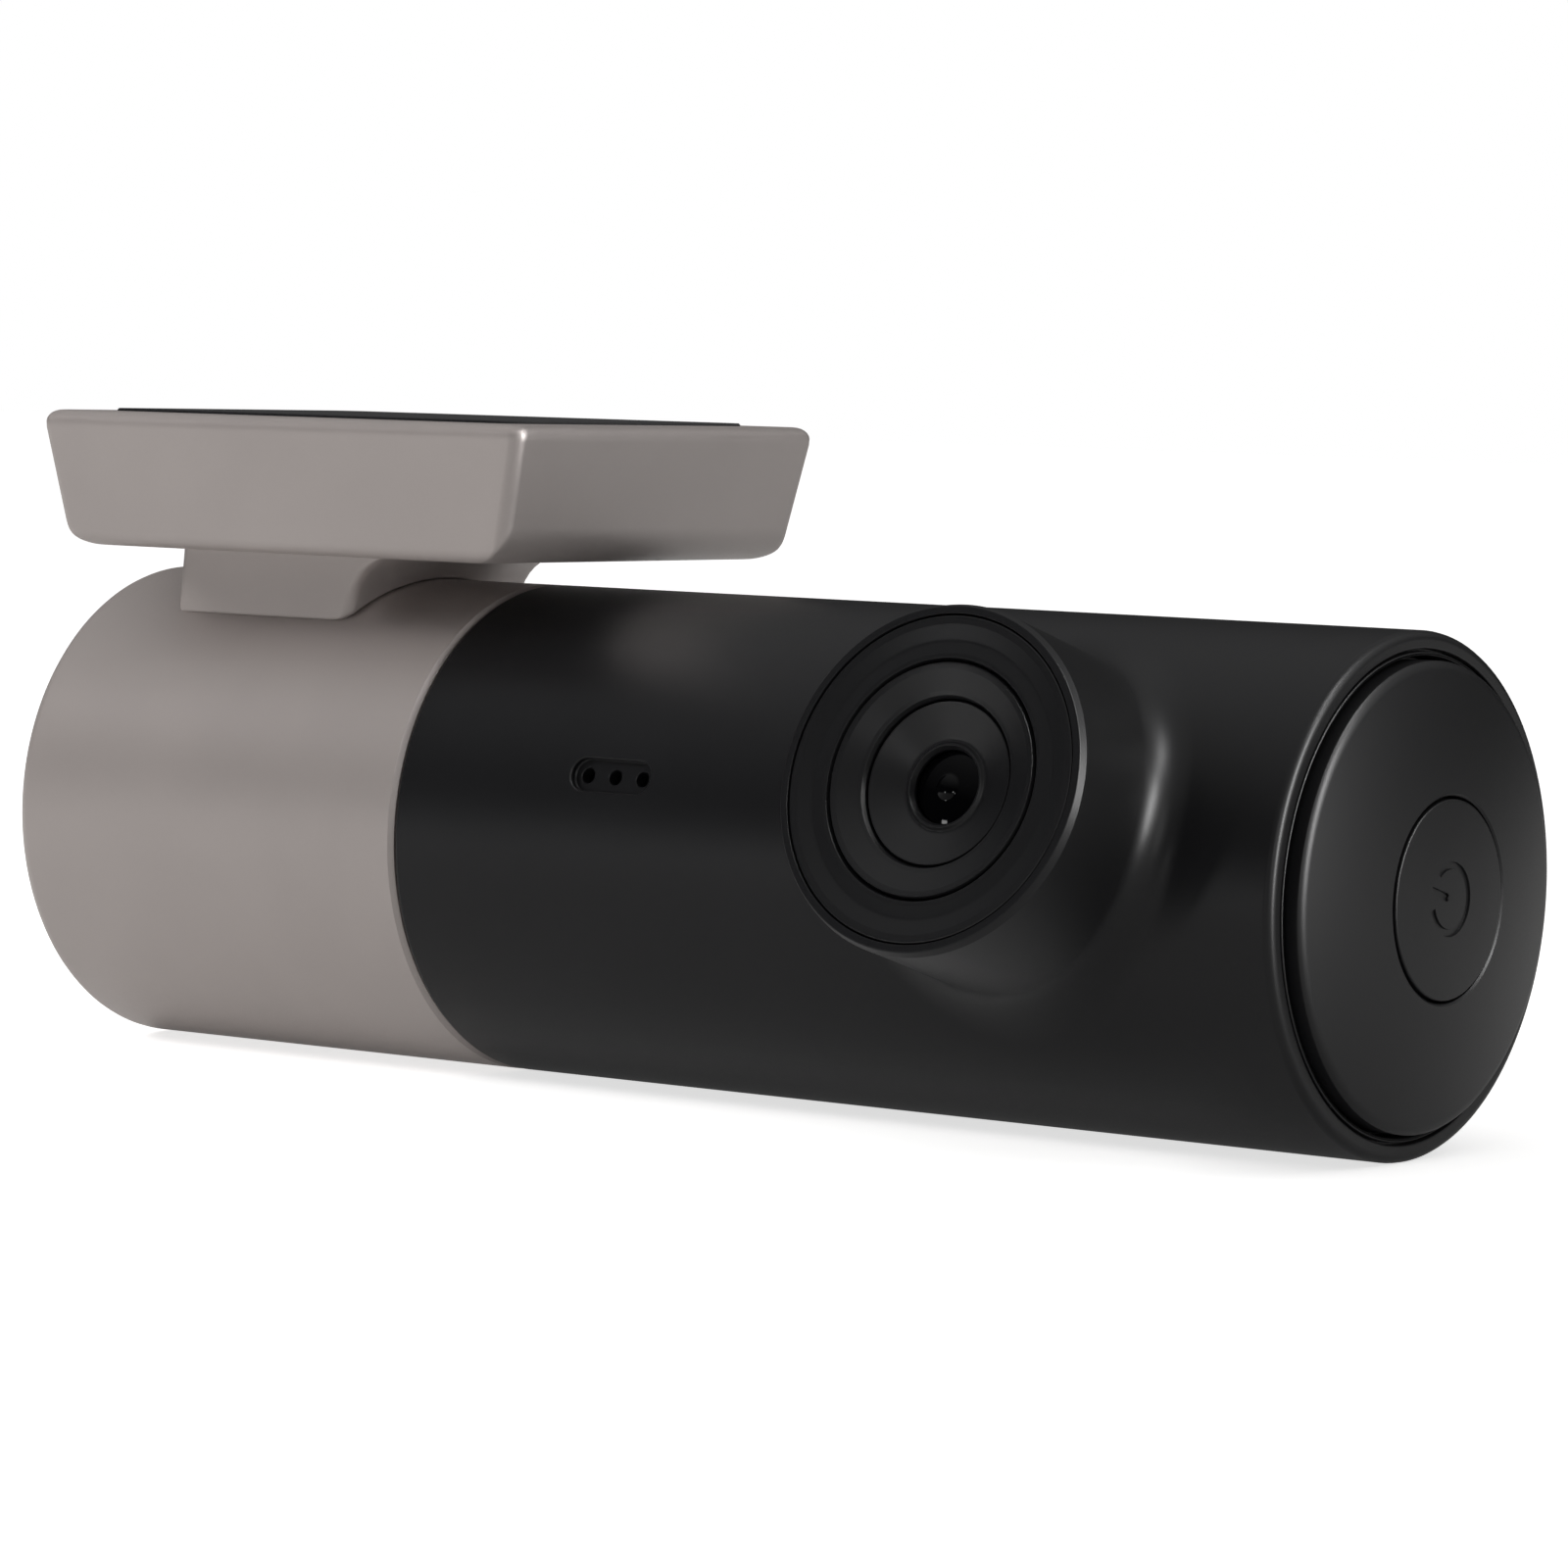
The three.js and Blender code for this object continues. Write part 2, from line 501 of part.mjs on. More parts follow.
function buildChassis() {
  const rings = [spinX(ring(10, 14.6, 15, 16.6), LENS_SIDES),
    spinX(ring(10.5, 13.6, 77.7, 79.5), LENS_SIDES)];
  const rails = [-1, 1].map((side) =>
    box([15.5, 2.4, side > 0 ? 11.2 : -13.8], [78.5, BOARD.front - GAP, side > 0 ? 13.8 : -11.2]));
  const holes = BOARD_SCREWS.map(([x, z]) => rod('y', 1, 1, 6, x, z, 12));
  place(camera, 'inner_chassis', 'nylon', combine(rings[0], [rings[1], ...rails], holes));
}

/** A box on the back of the main board, `lift` off its face. */
const onBack = (x, z, width, height, thickness, lift = GAP) =>
  box([x - width / 2, BOARD_BACK + lift, z - height / 2],
    [x + width / 2, BOARD_BACK + lift + thickness, z + height / 2]);

function buildBoard() {
  const { left, right, front, halfHeight } = BOARD;
  const holes = BOARD_SCREWS.map(([x, z]) => rod('y', 1.1, 3, 8, x, z, 12));
  place(camera, 'main_board', 'board',
    cut(box([left, front, -halfHeight], [right, BOARD_BACK, halfHeight]), ...holes));
  BOARD_SCREWS.forEach(([x, z], i) => place(camera, `main_board_screw_${i + 1}`, 'steel',
    screw(1.6, 1, 0.8, 4), [x, BOARD_BACK + 0.1, z], [0, 1, 0]));
  place(camera, 'processor', 'chip', onBack(62, 0, 14, 14, 1));
  place(camera, 'thermal_pad', 'foam', onBack(62, 0, 14, 14, 0.8, 1.6));
  place(camera, 'heat_spreader', 'aluminium', heatSpreader());
  place(camera, 'memory_chip', 'chip', box([42.5, front - GAP - 1, -8.5], [53.5, front - GAP, 0.5]));
  place(camera, 'wifi_module', 'steel', onBack(42, 5, 12, 12, 1.8));
}

/** A plate on the processor with fins that run along the body. */
function heatSpreader() {
  const base = onBack(62, 0, 24, 18, 1.4, 2.7);
  const fins = [];
  for (let i = -3; i <= 3; i++) {
    fins.push(box([50.5, BOARD_BACK + 3.6, 2.7 * i - 0.5], [73.5, BOARD_BACK + 6.4, 2.7 * i + 0.5]));
  }
  return combine(base, fins, []);
}

function buildCard() {
  const { x, y, width, length, thickness, end } = CARD;
  const block = box([x - 7, BOARD_BACK + GAP, -13.2], [x + 7, BOARD_BACK + 2.5, 0.4]);
  const pocket = box([x - 5.8, y - 0.75, -14], [x + 5.8, y + 0.75, -0.6]);
  place(camera, 'card_socket', 'steel', cut(block, pocket));
  const outline = new THREE.Shape();
  const half = width / 2;
  outline.moveTo(-half, 0);
  outline.lineTo(half, 0);
  outline.lineTo(half, length - 5.5);
  outline.lineTo(half - 1, length - 4.5);
  outline.lineTo(half - 1, length);
  outline.lineTo(-half, length);
  const card = extrude(outline, thickness).rotateX(Math.PI / 2);
  place(camera, 'memory_card', 'chip', card, [x, y + thickness / 2, end]);
}

function buildAudio() {
  const gasket = box([MIC.x - 4.2, -15.9, -1.2], [MIC.x + 4.2, -15.1, 2.3]);
  const port = rod('y', 0.5, -17, -14, MIC.x, MIC.z, 12);
  place(camera, 'microphone_gasket', 'rubber', cut(gasket, port));
  place(camera, 'microphone', 'steel', box([MIC.x - 2, -14.8, -0.95], [MIC.x + 2, -13.8, 2.05]));
  place(camera, 'microphone_board', 'board', box([MIC.x - 6, -13.5, -3], [MIC.x + 6, -12.7, 4.2]));
  const { x, y, width, height, thickness } = SPEAKER;
  const back = y - thickness / 2;
  const speaker = extrude(roundedRect(width, height, 3), thickness, 4).rotateX(-Math.PI / 2);
  place(camera, 'speaker', 'chip', speaker, [x, back, 0]);
  const foam = extrude(roundedRect(width - 2, height - 2, 2.5), 0.6, 4).rotateX(-Math.PI / 2);
  const open = extrude(roundedRect(width - 5, height - 5, 2), 3, 4).rotateX(-Math.PI / 2).translate(0, -1, 0);
  place(camera, 'speaker_gasket', 'foam', cut(foam, open), [x, back + thickness + GAP, 0]);
}

function buildPower() {
  [-1, 1].forEach((side, i) => {
    const can = spinX([[0, 0], [3.4, 0], [4, 0.6], [4, 17.4], [3.4, 18], [0, 18]], 20);
    place(camera, `supercapacitor_${i + 1}`, 'can', can, [26, -6.6, side * 4.6]);
  });
  const route = new THREE.CatmullRomCurve3([[-12.5, 0], [-4, 0], [4, 0], [10, 0.2], [14.5, 1.2], [18.2, 2.5]]
    .map(([x, y]) => new THREE.Vector3(x, y, 0)));
  const section = new THREE.Shape().absarc(0, 0, 1.5, 0, Math.PI * 2);
  const wires = new THREE.ExtrudeGeometry(section, { steps: 12, extrudePath: route, curveSegments: 4 });
  place(camera, 'wire_harness', 'rubber', wires);
  place(camera, 'harness_plug', 'cream', box([18.6, 0.7, -3], [23.6, BOARD.front - GAP, 3]));
}

buildBracket();
buildSleeve();
buildBearing();
buildUsb();
buildHousing();
buildPivot();
buildEndCap();
buildLens();
buildImager();
buildChassis();
buildBoard();
buildCard();
buildAudio();
buildPower();

export default root;
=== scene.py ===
import json
import math

import bmesh
import bpy
import numpy as np
from mathutils import Matrix, Vector


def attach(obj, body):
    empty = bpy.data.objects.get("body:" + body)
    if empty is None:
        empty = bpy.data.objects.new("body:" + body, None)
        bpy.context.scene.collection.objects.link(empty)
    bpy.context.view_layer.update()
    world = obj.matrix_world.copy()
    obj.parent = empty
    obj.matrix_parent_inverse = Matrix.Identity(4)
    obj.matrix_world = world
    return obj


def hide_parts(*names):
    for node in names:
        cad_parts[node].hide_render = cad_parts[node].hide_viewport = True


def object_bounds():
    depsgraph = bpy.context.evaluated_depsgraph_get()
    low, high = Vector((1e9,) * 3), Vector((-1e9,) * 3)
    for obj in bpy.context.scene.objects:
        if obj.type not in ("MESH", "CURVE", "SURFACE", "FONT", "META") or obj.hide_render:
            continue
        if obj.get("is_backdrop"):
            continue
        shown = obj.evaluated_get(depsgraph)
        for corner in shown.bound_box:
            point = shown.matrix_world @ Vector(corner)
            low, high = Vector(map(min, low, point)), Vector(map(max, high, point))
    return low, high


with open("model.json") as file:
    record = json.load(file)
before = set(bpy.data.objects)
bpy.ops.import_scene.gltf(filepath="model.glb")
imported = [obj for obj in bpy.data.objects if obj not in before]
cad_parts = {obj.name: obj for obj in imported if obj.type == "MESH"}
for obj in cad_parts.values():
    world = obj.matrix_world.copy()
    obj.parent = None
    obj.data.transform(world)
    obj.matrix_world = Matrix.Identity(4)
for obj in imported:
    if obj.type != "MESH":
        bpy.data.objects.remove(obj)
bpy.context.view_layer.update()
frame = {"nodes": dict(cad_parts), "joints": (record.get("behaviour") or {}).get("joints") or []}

bl_info = {
    "name": "Dash camera",
    "version": (1, 0, 0),
    "blender": (4, 5, 0),
    "location": "3D View > Sidebar > Dash camera",
    "description": "Builds a windscreen dash camera around its packed CAD frame",
    "category": "Add Mesh",
}

MM = 0.001

# The frame, read in millimetres. "Turned" pieces are worked out in the camera's own frame, whose X axis
# is the body's axis and whose -Y axis is the lens axis, and are tipped back by the lens tilt at the end.

JOINTS = {joint["name"]: joint for joint in frame["joints"]}
AXIS_Z = JOINTS["camera_turn"]["pos_m"][2] / MM
TILT = math.asin(-JOINTS["card_slide"]["axis"][1])


def row_points(node):
    """A CAD node's corners in the row frame, in millimetres."""
    mesh = frame["nodes"][node].data
    points = np.empty(len(mesh.vertices) * 3, np.float32)
    mesh.vertices.foreach_get("co", points)
    return points.reshape(-1, 3).astype(float) / MM


def turned_box(node):
    """Lowest and highest corner of a CAD node in the camera's own frame: the tilt is turned back."""
    x, y, z = (row_points(node) - [0, 0, AXIS_Z]).T
    local = np.stack([x, y * math.cos(TILT) - z * math.sin(TILT), y * math.sin(TILT) + z * math.cos(TILT)])
    return local.min(1), local.max(1)


def row_box(node):
    """Lowest and highest corner of a CAD node in the row frame, in millimetres."""
    points = row_points(node)
    return points.min(0), points.max(0)


SLEEVE = row_box("mount_sleeve")
BRACKET = row_box("mount_bracket")
PAD = row_box("adhesive_pad")
HOUSING = turned_box("main_housing")
BUTTON = turned_box("power_button")
BEZEL = turned_box("lens_bezel")
CARD = turned_box("memory_card")
USB = row_box("usb_c_socket")

BODY_R = (SLEEVE[1][1] - SLEEVE[0][1]) / 2
SEAM = SLEEVE[1][0]
RIM = HOUSING[1][0]
WALL = 1.6
BORE_R = BODY_R - WALL
LENS_X = (BEZEL[0][0] + BEZEL[1][0]) / 2
LENS_FACE = -HOUSING[0][1]
BOSS_R = 12.05
LENS_BORE_R = 10.2


# Colours and materials.

def linear(code):
    """An sRGB hex colour as linear red, green and blue."""
    channels = np.array([int(code[i:i + 2], 16) for i in (1, 3, 5)]) / 255
    low = channels / 12.92
    high = ((channels + 0.055) / 1.055) ** 2.4
    return tuple(float(v) for v in np.where(channels <= 0.04045, low, high))


def per_mm(size):
    """The texture scale that gives a pattern of this size in millimetres on coordinates in metres."""
    return 1 / (size * MM)


def add(tree, kind, inputs=(), **settings):
    """Adds a node with its settings; an input is given a value, or the socket that it is linked to."""
    node = tree.nodes.new(kind)
    for name, value in settings.items():
        setattr(node, name, value)
    for name, value in dict(inputs).items():
        if isinstance(value, bpy.types.NodeSocket):
            tree.links.new(value, node.inputs[name])
        else:
            node.inputs[name].default_value = value
    return node


def ramp(tree, factor, stops, **settings):
    """A colour ramp from (position, colour) stops."""
    node = add(tree, "ShaderNodeValToRGB", {"Fac": factor}, **settings)
    elements = node.color_ramp.elements
    while len(elements) < len(stops):
        elements.new(0.5)
    for element, (position, colour) in zip(elements, stops):
        element.position = position
        element.color = (*colour, 1)
    return node.outputs["Color"]


def level_range(tree, factor, low, high):
    """Stretches a pattern from 0-1 to low-high."""
    return add(tree, "ShaderNodeMapRange", {"Value": factor, "To Min": low, "To Max": high}).outputs["Result"]


def noise(tree, size, detail=2.0, vector=None):
    """Fractal noise whose lumps are `size` millimetres, on the object's own coordinates."""
    if vector is None:
        vector = add(tree, "ShaderNodeTexCoord").outputs["Object"]
    node = add(tree, "ShaderNodeTexNoise", {"Vector": vector, "Scale": per_mm(size), "Detail": detail})
    return node.outputs["Fac"]


def bump(tree, height, depth_mm, strength=1.0):
    """Turns a height pattern into a bump of that depth in millimetres."""
    settings = {"Height": height, "Distance": depth_mm * MM, "Strength": strength}
    return add(tree, "ShaderNodeBump", settings).outputs["Normal"]


def surface(name, **inputs):
    """A new material with its Principled shader's uniform values set on its own sockets."""
    material = bpy.data.materials.new(name)
    material.use_nodes = True
    shader = material.node_tree.nodes["Principled BSDF"]
    for key, value in inputs.items():
        shader.inputs[key.replace("_", " ")].default_value = value
    return material, material.node_tree, shader


def moulded(name, colour, spread, roughness, grain, depth, **inputs):
    """A moulded plastic: its colour drifts a little over centimetres, and a fine spark-eroded grain breaks
    up its sheen. `spread` is the share by which the colour drifts, `grain` and `depth` the texture in mm."""
    material, tree, shader = surface(name, **inputs)
    drift = noise(tree, 9.0)
    base = np.array(linear(colour))
    tint = ramp(tree, drift, [(0.3, base * (1 - spread)), (0.7, base * (1 + spread))])
    tree.links.new(tint, shader.inputs["Base Color"])
    fine = noise(tree, grain, 3.0)
    tree.links.new(level_range(tree, fine, roughness - 0.04, roughness + 0.04), shader.inputs["Roughness"])
    tree.links.new(bump(tree, fine, depth), shader.inputs["Normal"])
    return material


def grey_satin():
    """Warm grey ABS under a satin soft-metal paint: the sheen is broad, and a faint sparkle of flake
    shows at close range. The flake is drawn at 0.12 mm, coarser than the real one."""
    colour = bpy.context.scene.dash_camera.grey_paint
    material, tree, shader = surface("satin_metallic_painted_abs", Metallic=0.25, Coat_Weight=0.08,
                                     Coat_Roughness=0.35)
    base = np.array(colour)
    drift = noise(tree, 12.0)
    tint = ramp(tree, drift, [(0.3, base * 0.97), (0.7, base * 1.03)])
    flake = add(tree, "ShaderNodeTexVoronoi", {"Vector": add(tree, "ShaderNodeTexCoord").outputs["Object"],
                                               "Scale": per_mm(0.12)}).outputs["Color"]
    spark = add(tree, "ShaderNodeSeparateColor", {"Color": flake}).outputs["Red"]
    glint = ramp(tree, spark, [(0, base * 0.8), (1, base * 1.3)])
    mixed = add(tree, "ShaderNodeMix", {0: 0.05, 6: tint, 7: glint}, data_type="RGBA")
    tree.links.new(mixed.outputs[2], shader.inputs["Base Color"])
    tree.links.new(level_range(tree, spark, 0.40, 0.50), shader.inputs["Roughness"])
    tree.links.new(bump(tree, noise(tree, 0.14, 3.0), 0.0016), shader.inputs["Normal"])
    return material


def black_satin():
    """Black ABS from a finely spark-eroded mould: a soft, slightly open sheen with no visible grain until
    close up. The grain is 0.1 mm across."""
    colour = bpy.context.scene.dash_camera.black_plastic
    material, tree, shader = surface("spark_eroded_black_abs", Specular_IOR_Level=0.2)
    base = np.array(colour)
    tint = ramp(tree, noise(tree, 10.0), [(0.3, base * 0.92), (0.7, base * 1.08)])
    tree.links.new(tint, shader.inputs["Base Color"])
    fine = noise(tree, 0.1, 3.0)
    tree.links.new(level_range(tree, fine, 0.34, 0.44), shader.inputs["Roughness"])
    tree.links.new(bump(tree, fine, 0.0012), shader.inputs["Normal"])
    return material


def lens_trim():
    """Black lens rings with a turned finish: fine circles about the lens axis, 0.16 mm apart, draw the
    light out sideways as they do on an anodised ring."""
    material, tree, shader = surface("turned_black_anodised_trim", Specular_IOR_Level=0.3,
                                     Base_Color=(*linear("#101012"), 1))
    place = add(tree, "ShaderNodeTexCoord").outputs["Object"]
    centre = np.array([LENS_X, -LENS_FACE * math.cos(TILT), AXIS_Z + LENS_FACE * math.sin(TILT)]) * MM
    # The mapping puts the lens axis on Z: it moves the lens centre to the origin and tips the axis up.
    moved = add(tree, "ShaderNodeVectorMath", {0: place, 1: Vector(centre)}, operation="SUBTRACT").outputs[0]
    tipped = add(tree, "ShaderNodeMapping", {"Vector": moved, "Rotation": (math.pi / 2 + TILT, 0, 0)},
                 vector_type="POINT").outputs["Vector"]
    parts = add(tree, "ShaderNodeSeparateXYZ", {"Vector": tipped})
    squares = [add(tree, "ShaderNodeMath", {0: parts.outputs[k], 1: 2.0}, operation="POWER").outputs[0]
               for k in ("X", "Y")]
    total = add(tree, "ShaderNodeMath", {0: squares[0], 1: squares[1]}, operation="ADD").outputs[0]
    radius = add(tree, "ShaderNodeMath", {0: total}, operation="SQRT").outputs[0]
    turns = add(tree, "ShaderNodeMath", {0: radius, 1: 2 * math.pi * per_mm(0.16)}, operation="MULTIPLY")
    wave = add(tree, "ShaderNodeMath", {0: turns.outputs[0]}, operation="SINE").outputs[0]
    fine = noise(tree, 0.2, 2.0)
    mixed = add(tree, "ShaderNodeMath", {0: wave, 1: 0.35, 2: fine}, operation="MULTIPLY_ADD").outputs[0]
    tree.links.new(bump(tree, mixed, 0.0008), shader.inputs["Normal"])
    tree.links.new(level_range(tree, fine, 0.3, 0.4), shader.inputs["Roughness"])
    return material


def coated_glass():
    """A multi-coated lens element: black depth behind a sharp reflection that the coatings keep weak, with
    the faintest dust."""
    material, tree, shader = surface("multicoated_lens_glass", Base_Color=(*linear("#030304"), 1),
                                     Specular_IOR_Level=0.1)
    tree.links.new(level_range(tree, noise(tree, 0.6, 3.0), 0.02, 0.05), shader.inputs["Roughness"])
    return material


def foam_tape():
    """Closed-cell acrylic foam tape: dead matt black with 0.3 mm cells just showing."""
    material, tree, shader = surface("acrylic_foam_tape", Specular_IOR_Level=0.25)
    cells = add(tree, "ShaderNodeTexVoronoi", {"Vector": add(tree, "ShaderNodeTexCoord").outputs["Object"],
                                               "Scale": per_mm(0.3)}).outputs["Distance"]
    tree.links.new(ramp(tree, cells, [(0, linear("#101011")), (1, linear("#262628"))]),
                   shader.inputs["Base Color"])
    tree.links.new(level_range(tree, cells, 0.85, 0.98), shader.inputs["Roughness"])
    tree.links.new(bump(tree, cells, 0.03), shader.inputs["Normal"])
    return material


def rubber():
    """Moulded silicone rubber: matt black with a slightly dusty bloom."""
    return moulded("moulded_silicone_rubber", "#161617", 0.15, 0.72, 0.25, 0.004)


def metal(name, colour, roughness, size, stretch=(1, 1, 1)):
    """A metal whose brushing or rolling is noise drawn out along one axis."""
    material, tree, shader = surface(name, Metallic=1.0)
    place = add(tree, "ShaderNodeMapping", {"Vector": add(tree, "ShaderNodeTexCoord").outputs["Object"],
                                            "Scale": stretch}).outputs["Vector"]
    lines = noise(tree, size, 4.0, place)
    base = np.array(linear(colour))
    tree.links.new(ramp(tree, lines, [(0.2, base * 0.86), (0.8, base)]), shader.inputs["Base Color"])
    tree.links.new(level_range(tree, lines, roughness - 0.06, roughness + 0.08), shader.inputs["Roughness"])
    tree.links.new(bump(tree, lines, 0.002), shader.inputs["Normal"])
    return material


def steel():
    """Nickel-plated steel: bright, with a faint rolled grain."""
    return metal("nickel_plated_steel", "#C9C7C2", 0.24, 0.4, (0.15, 1, 1))


def aluminium():
    """Extruded aluminium: pale and soft, with the die's lines along its length."""
    return metal("extruded_aluminium", "#C6C9CC", 0.36, 0.25, (0.05, 1, 1))


def brass():
    """Turned brass: yellow, with the tool's fine rings across its axis."""
    return metal("turned_brass", "#C9A257", 0.26, 0.2, (1, 0.2, 0.2))


def circuit_board():
    """Green solder mask over woven glass laminate: glossy lacquer, copper tracks just showing through."""
    material, tree, shader = surface("solder_masked_laminate", Coat_Weight=0.5, Coat_Roughness=0.15)
    place = add(tree, "ShaderNodeTexCoord").outputs["Object"]
    tracks = add(tree, "ShaderNodeTexVoronoi", {"Vector": place, "Scale": per_mm(1.6)},
                 distance="MANHATTAN").outputs["Distance"]
    tree.links.new(ramp(tree, tracks, [(0.38, linear("#0E3A26")), (0.42, linear("#1B5A38"))]),
                   shader.inputs["Base Color"])
    tree.links.new(level_range(tree, noise(tree, 0.5), 0.35, 0.5), shader.inputs["Roughness"])
    tree.links.new(bump(tree, tracks, 0.01), shader.inputs["Normal"])
    return material


def chip_epoxy():
    """Filled epoxy moulding compound: charcoal, matt, with 0.15 mm filler specks."""
    return moulded("epoxy_moulding_compound", "#1C1D1F", 0.1, 0.6, 0.15, 0.003)


def glass_nylon():
    """Glass-filled nylon: dark grey and dull, with the mottled skin that the fibres give it."""
    return moulded("glass_filled_nylon", "#3A3B3E", 0.12, 0.58, 0.45, 0.006)


def connector_plastic():
    """Natural nylon connector body: cream, a little waxy."""
    return moulded("natural_nylon_connector", "#E4DCC8", 0.04, 0.45, 0.3, 0.002, Subsurface_Weight=0.1,
                   Subsurface_Scale=0.0006)


def shrink_sleeve():
    """PVC heat-shrink sleeve: deep blue, glossy, with faint shrink ripples."""
    return moulded("pvc_shrink_sleeve", "#1F3563", 0.08, 0.3, 1.2, 0.01)


def silicone_wire():
    """Silicone-sheathed wires laid side by side: black, soft sheen."""
    return moulded("silicone_wire_sheath", "#19191B", 0.1, 0.5, 0.4, 0.004)


# Outlines and grids.

def rounded(corners, steps=4, hold=0.12, closed=False):
    """An outline with rounded corners. Each corner is (a, b, fillet): the fillet is the arc of that radius
    that touches both sides, found by turning the radius from one side's normal to the other's. A point
    just outside each arc holds the flat beside it flat."""
    points = np.array([corner[:2] for corner in corners], float)
    pieces = []
    for i, (_, _, fillet) in enumerate(corners):
        corner = points[i]
        if fillet == 0 or (not closed and i in (0, len(points) - 1)):
            pieces.append(corner[None])
            continue
        back, ahead = points[i - 1] - corner, points[(i + 1) % len(points)] - corner
        far_back, far_ahead = np.linalg.norm(back), np.linalg.norm(ahead)
        back, ahead = back / far_back, ahead / far_ahead
        half = math.acos(np.clip(back @ ahead, -1, 1)) / 2
        reach = fillet / math.tan(half)
        middle = corner + (back + ahead) / np.linalg.norm(back + ahead) * fillet / math.sin(half)
        start, end = corner + back * reach - middle, corner + ahead * reach - middle
        turn = math.pi - 2 * half
        share = np.linspace(0, 1, steps + 1)[:, None]
        arc = middle + (np.sin((1 - share) * turn) * start + np.sin(share * turn) * end) / math.sin(turn)
        before = reach + min(hold, 0.3 * (far_back - reach))
        after = reach + min(hold, 0.3 * (far_ahead - reach))
        pieces += [(corner + back * before)[None], arc, (corner + ahead * after)[None]]
    profile = np.concatenate(pieces)
    return np.concatenate([profile, profile[:1]]) if closed else profile


def full_turn(sides):
    """Angles round a full circle, in radians, without the repeated last one."""
    return np.arange(sides) * 2 * math.pi / sides


def about_x(profile, angles):
    """Rings about the body's axis from (radius, x) points; the angle is 0 at the front and grows upwards."""
    radius, along = np.asarray(profile).T
    x = np.repeat(along[:, None], len(angles), 1)
    return np.stack([x, -np.outer(radius, np.cos(angles)), np.outer(radius, np.sin(angles))], -1)


def about_lens(profile, angles):
    """Rings about the lens axis from (radius, height) points; height is from the body's axis outwards."""
    radius, height = np.asarray(profile).T
    y = -np.repeat(height[:, None], len(angles), 1)
    return np.stack([LENS_X + np.outer(radius, np.cos(angles)), y, np.outer(radius, np.sin(angles))], -1)


def spaced(stops, counts):
    """Values from stop to stop, evenly spaced within each stretch."""
    runs = [np.linspace(a, b, n, endpoint=False) for a, b, n in zip(stops, stops[1:], counts)]
    return np.concatenate([*runs, [stops[-1]]])


def between(first, last, shares):
    """Rings at these shares of the way from the first ring to the last."""
    shares = np.asarray(shares, float)[:, None, None]
    return first[None] * (1 - shares) + last[None] * shares


def grid_faces(shape, first, wrap=True, keep=None):
    """Four-sided faces between neighbouring rows and columns of a grid whose corners start at `first`."""
    rows, columns = shape
    index = np.arange(rows * columns).reshape(rows, columns) + first
    if wrap:
        index = np.concatenate([index, index[:, :1]], 1)
    faces = np.stack([index[:-1, :-1], index[:-1, 1:], index[1:, 1:], index[1:, :-1]], -1)
    return faces.reshape(-1, 4) if keep is None else faces[keep]


def in_row_frame(points, turned):
    """Millimetres to metres in the row frame: turned points are tipped by the lens tilt and moved up."""
    x, y, z = points.reshape(-1, 3).T
    if turned:
        y, z = y * math.cos(TILT) + z * math.sin(TILT), -y * math.sin(TILT) + z * math.cos(TILT)
    return np.stack([x, y, z + AXIS_Z], -1) * MM


def make_piece(name, grids, body, material, nodes, turned=True, crease=38):
    """Joins grids into one closed mesh. A grid is an array of rings, or (array, wrap, kept faces). Corners
    that meet are merged, faces are turned outwards, and edges sharper than `crease` degrees stay sharp."""
    corners, faces, count = [], [], 0
    for grid in grids:
        points, wrap, keep = grid if isinstance(grid, tuple) else (grid, True, None)
        corners.append(in_row_frame(points, turned))
        faces.append(grid_faces(points.shape[:2], count, wrap, keep))
        count += len(corners[-1])
    mesh = bpy.data.meshes.new(name)
    mesh.from_pydata(np.concatenate(corners).tolist(), [], np.concatenate(faces).tolist())
    shape = bmesh.new()
    shape.from_mesh(mesh)
    bmesh.ops.remove_doubles(shape, verts=shape.verts, dist=2e-6)
    bmesh.ops.delete(shape, geom=[v for v in shape.verts if not v.link_faces], context="VERTS")
    bmesh.ops.recalc_face_normals(shape, faces=shape.faces)
    shape.to_mesh(mesh)
    shape.free()
    mesh.shade_smooth()
    mesh.set_sharp_from_angle(angle=math.radians(crease))
    mesh.materials.append(material)
    piece = bpy.data.objects.new(name, mesh)
    bpy.context.scene.collection.objects.link(piece)
    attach(piece, body)
    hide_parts(*nodes)
    return piece


def finish(name):
    """The material of this name from its function, made once."""
    made = bpy.data.materials.get(FINISHES[name]["label"])
    return made or FINISHES[name]["make"]()


FINISHES = {
    "grey_satin": {"label": "satin_metallic_painted_abs", "make": grey_satin},
    "black_satin": {"label": "spark_eroded_black_abs", "make": black_satin},
    "lens_trim": {"label": "turned_black_anodised_trim", "make": lens_trim},
    "coated_glass": {"label": "multicoated_lens_glass", "make": coated_glass},
    "foam_tape": {"label": "acrylic_foam_tape", "make": foam_tape},
    "rubber": {"label": "moulded_silicone_rubber", "make": rubber},
    "steel": {"label": "nickel_plated_steel", "make": steel},
    "aluminium": {"label": "extruded_aluminium", "make": aluminium},
    "brass": {"label": "turned_brass", "make": brass},
    "circuit_board": {"label": "solder_masked_laminate", "make": circuit_board},
    "chip_epoxy": {"label": "epoxy_moulding_compound", "make": chip_epoxy},
    "glass_nylon": {"label": "glass_filled_nylon", "make": glass_nylon},
    "connector_plastic": {"label": "natural_nylon_connector", "make": connector_plastic},
    "shrink_sleeve": {"label": "pvc_shrink_sleeve", "make": shrink_sleeve},
    "silicone_wire": {"label": "silicone_wire_sheath", "make": silicone_wire},
}


# The camera's housing: one shell, inside and out, with its boss and its holes.

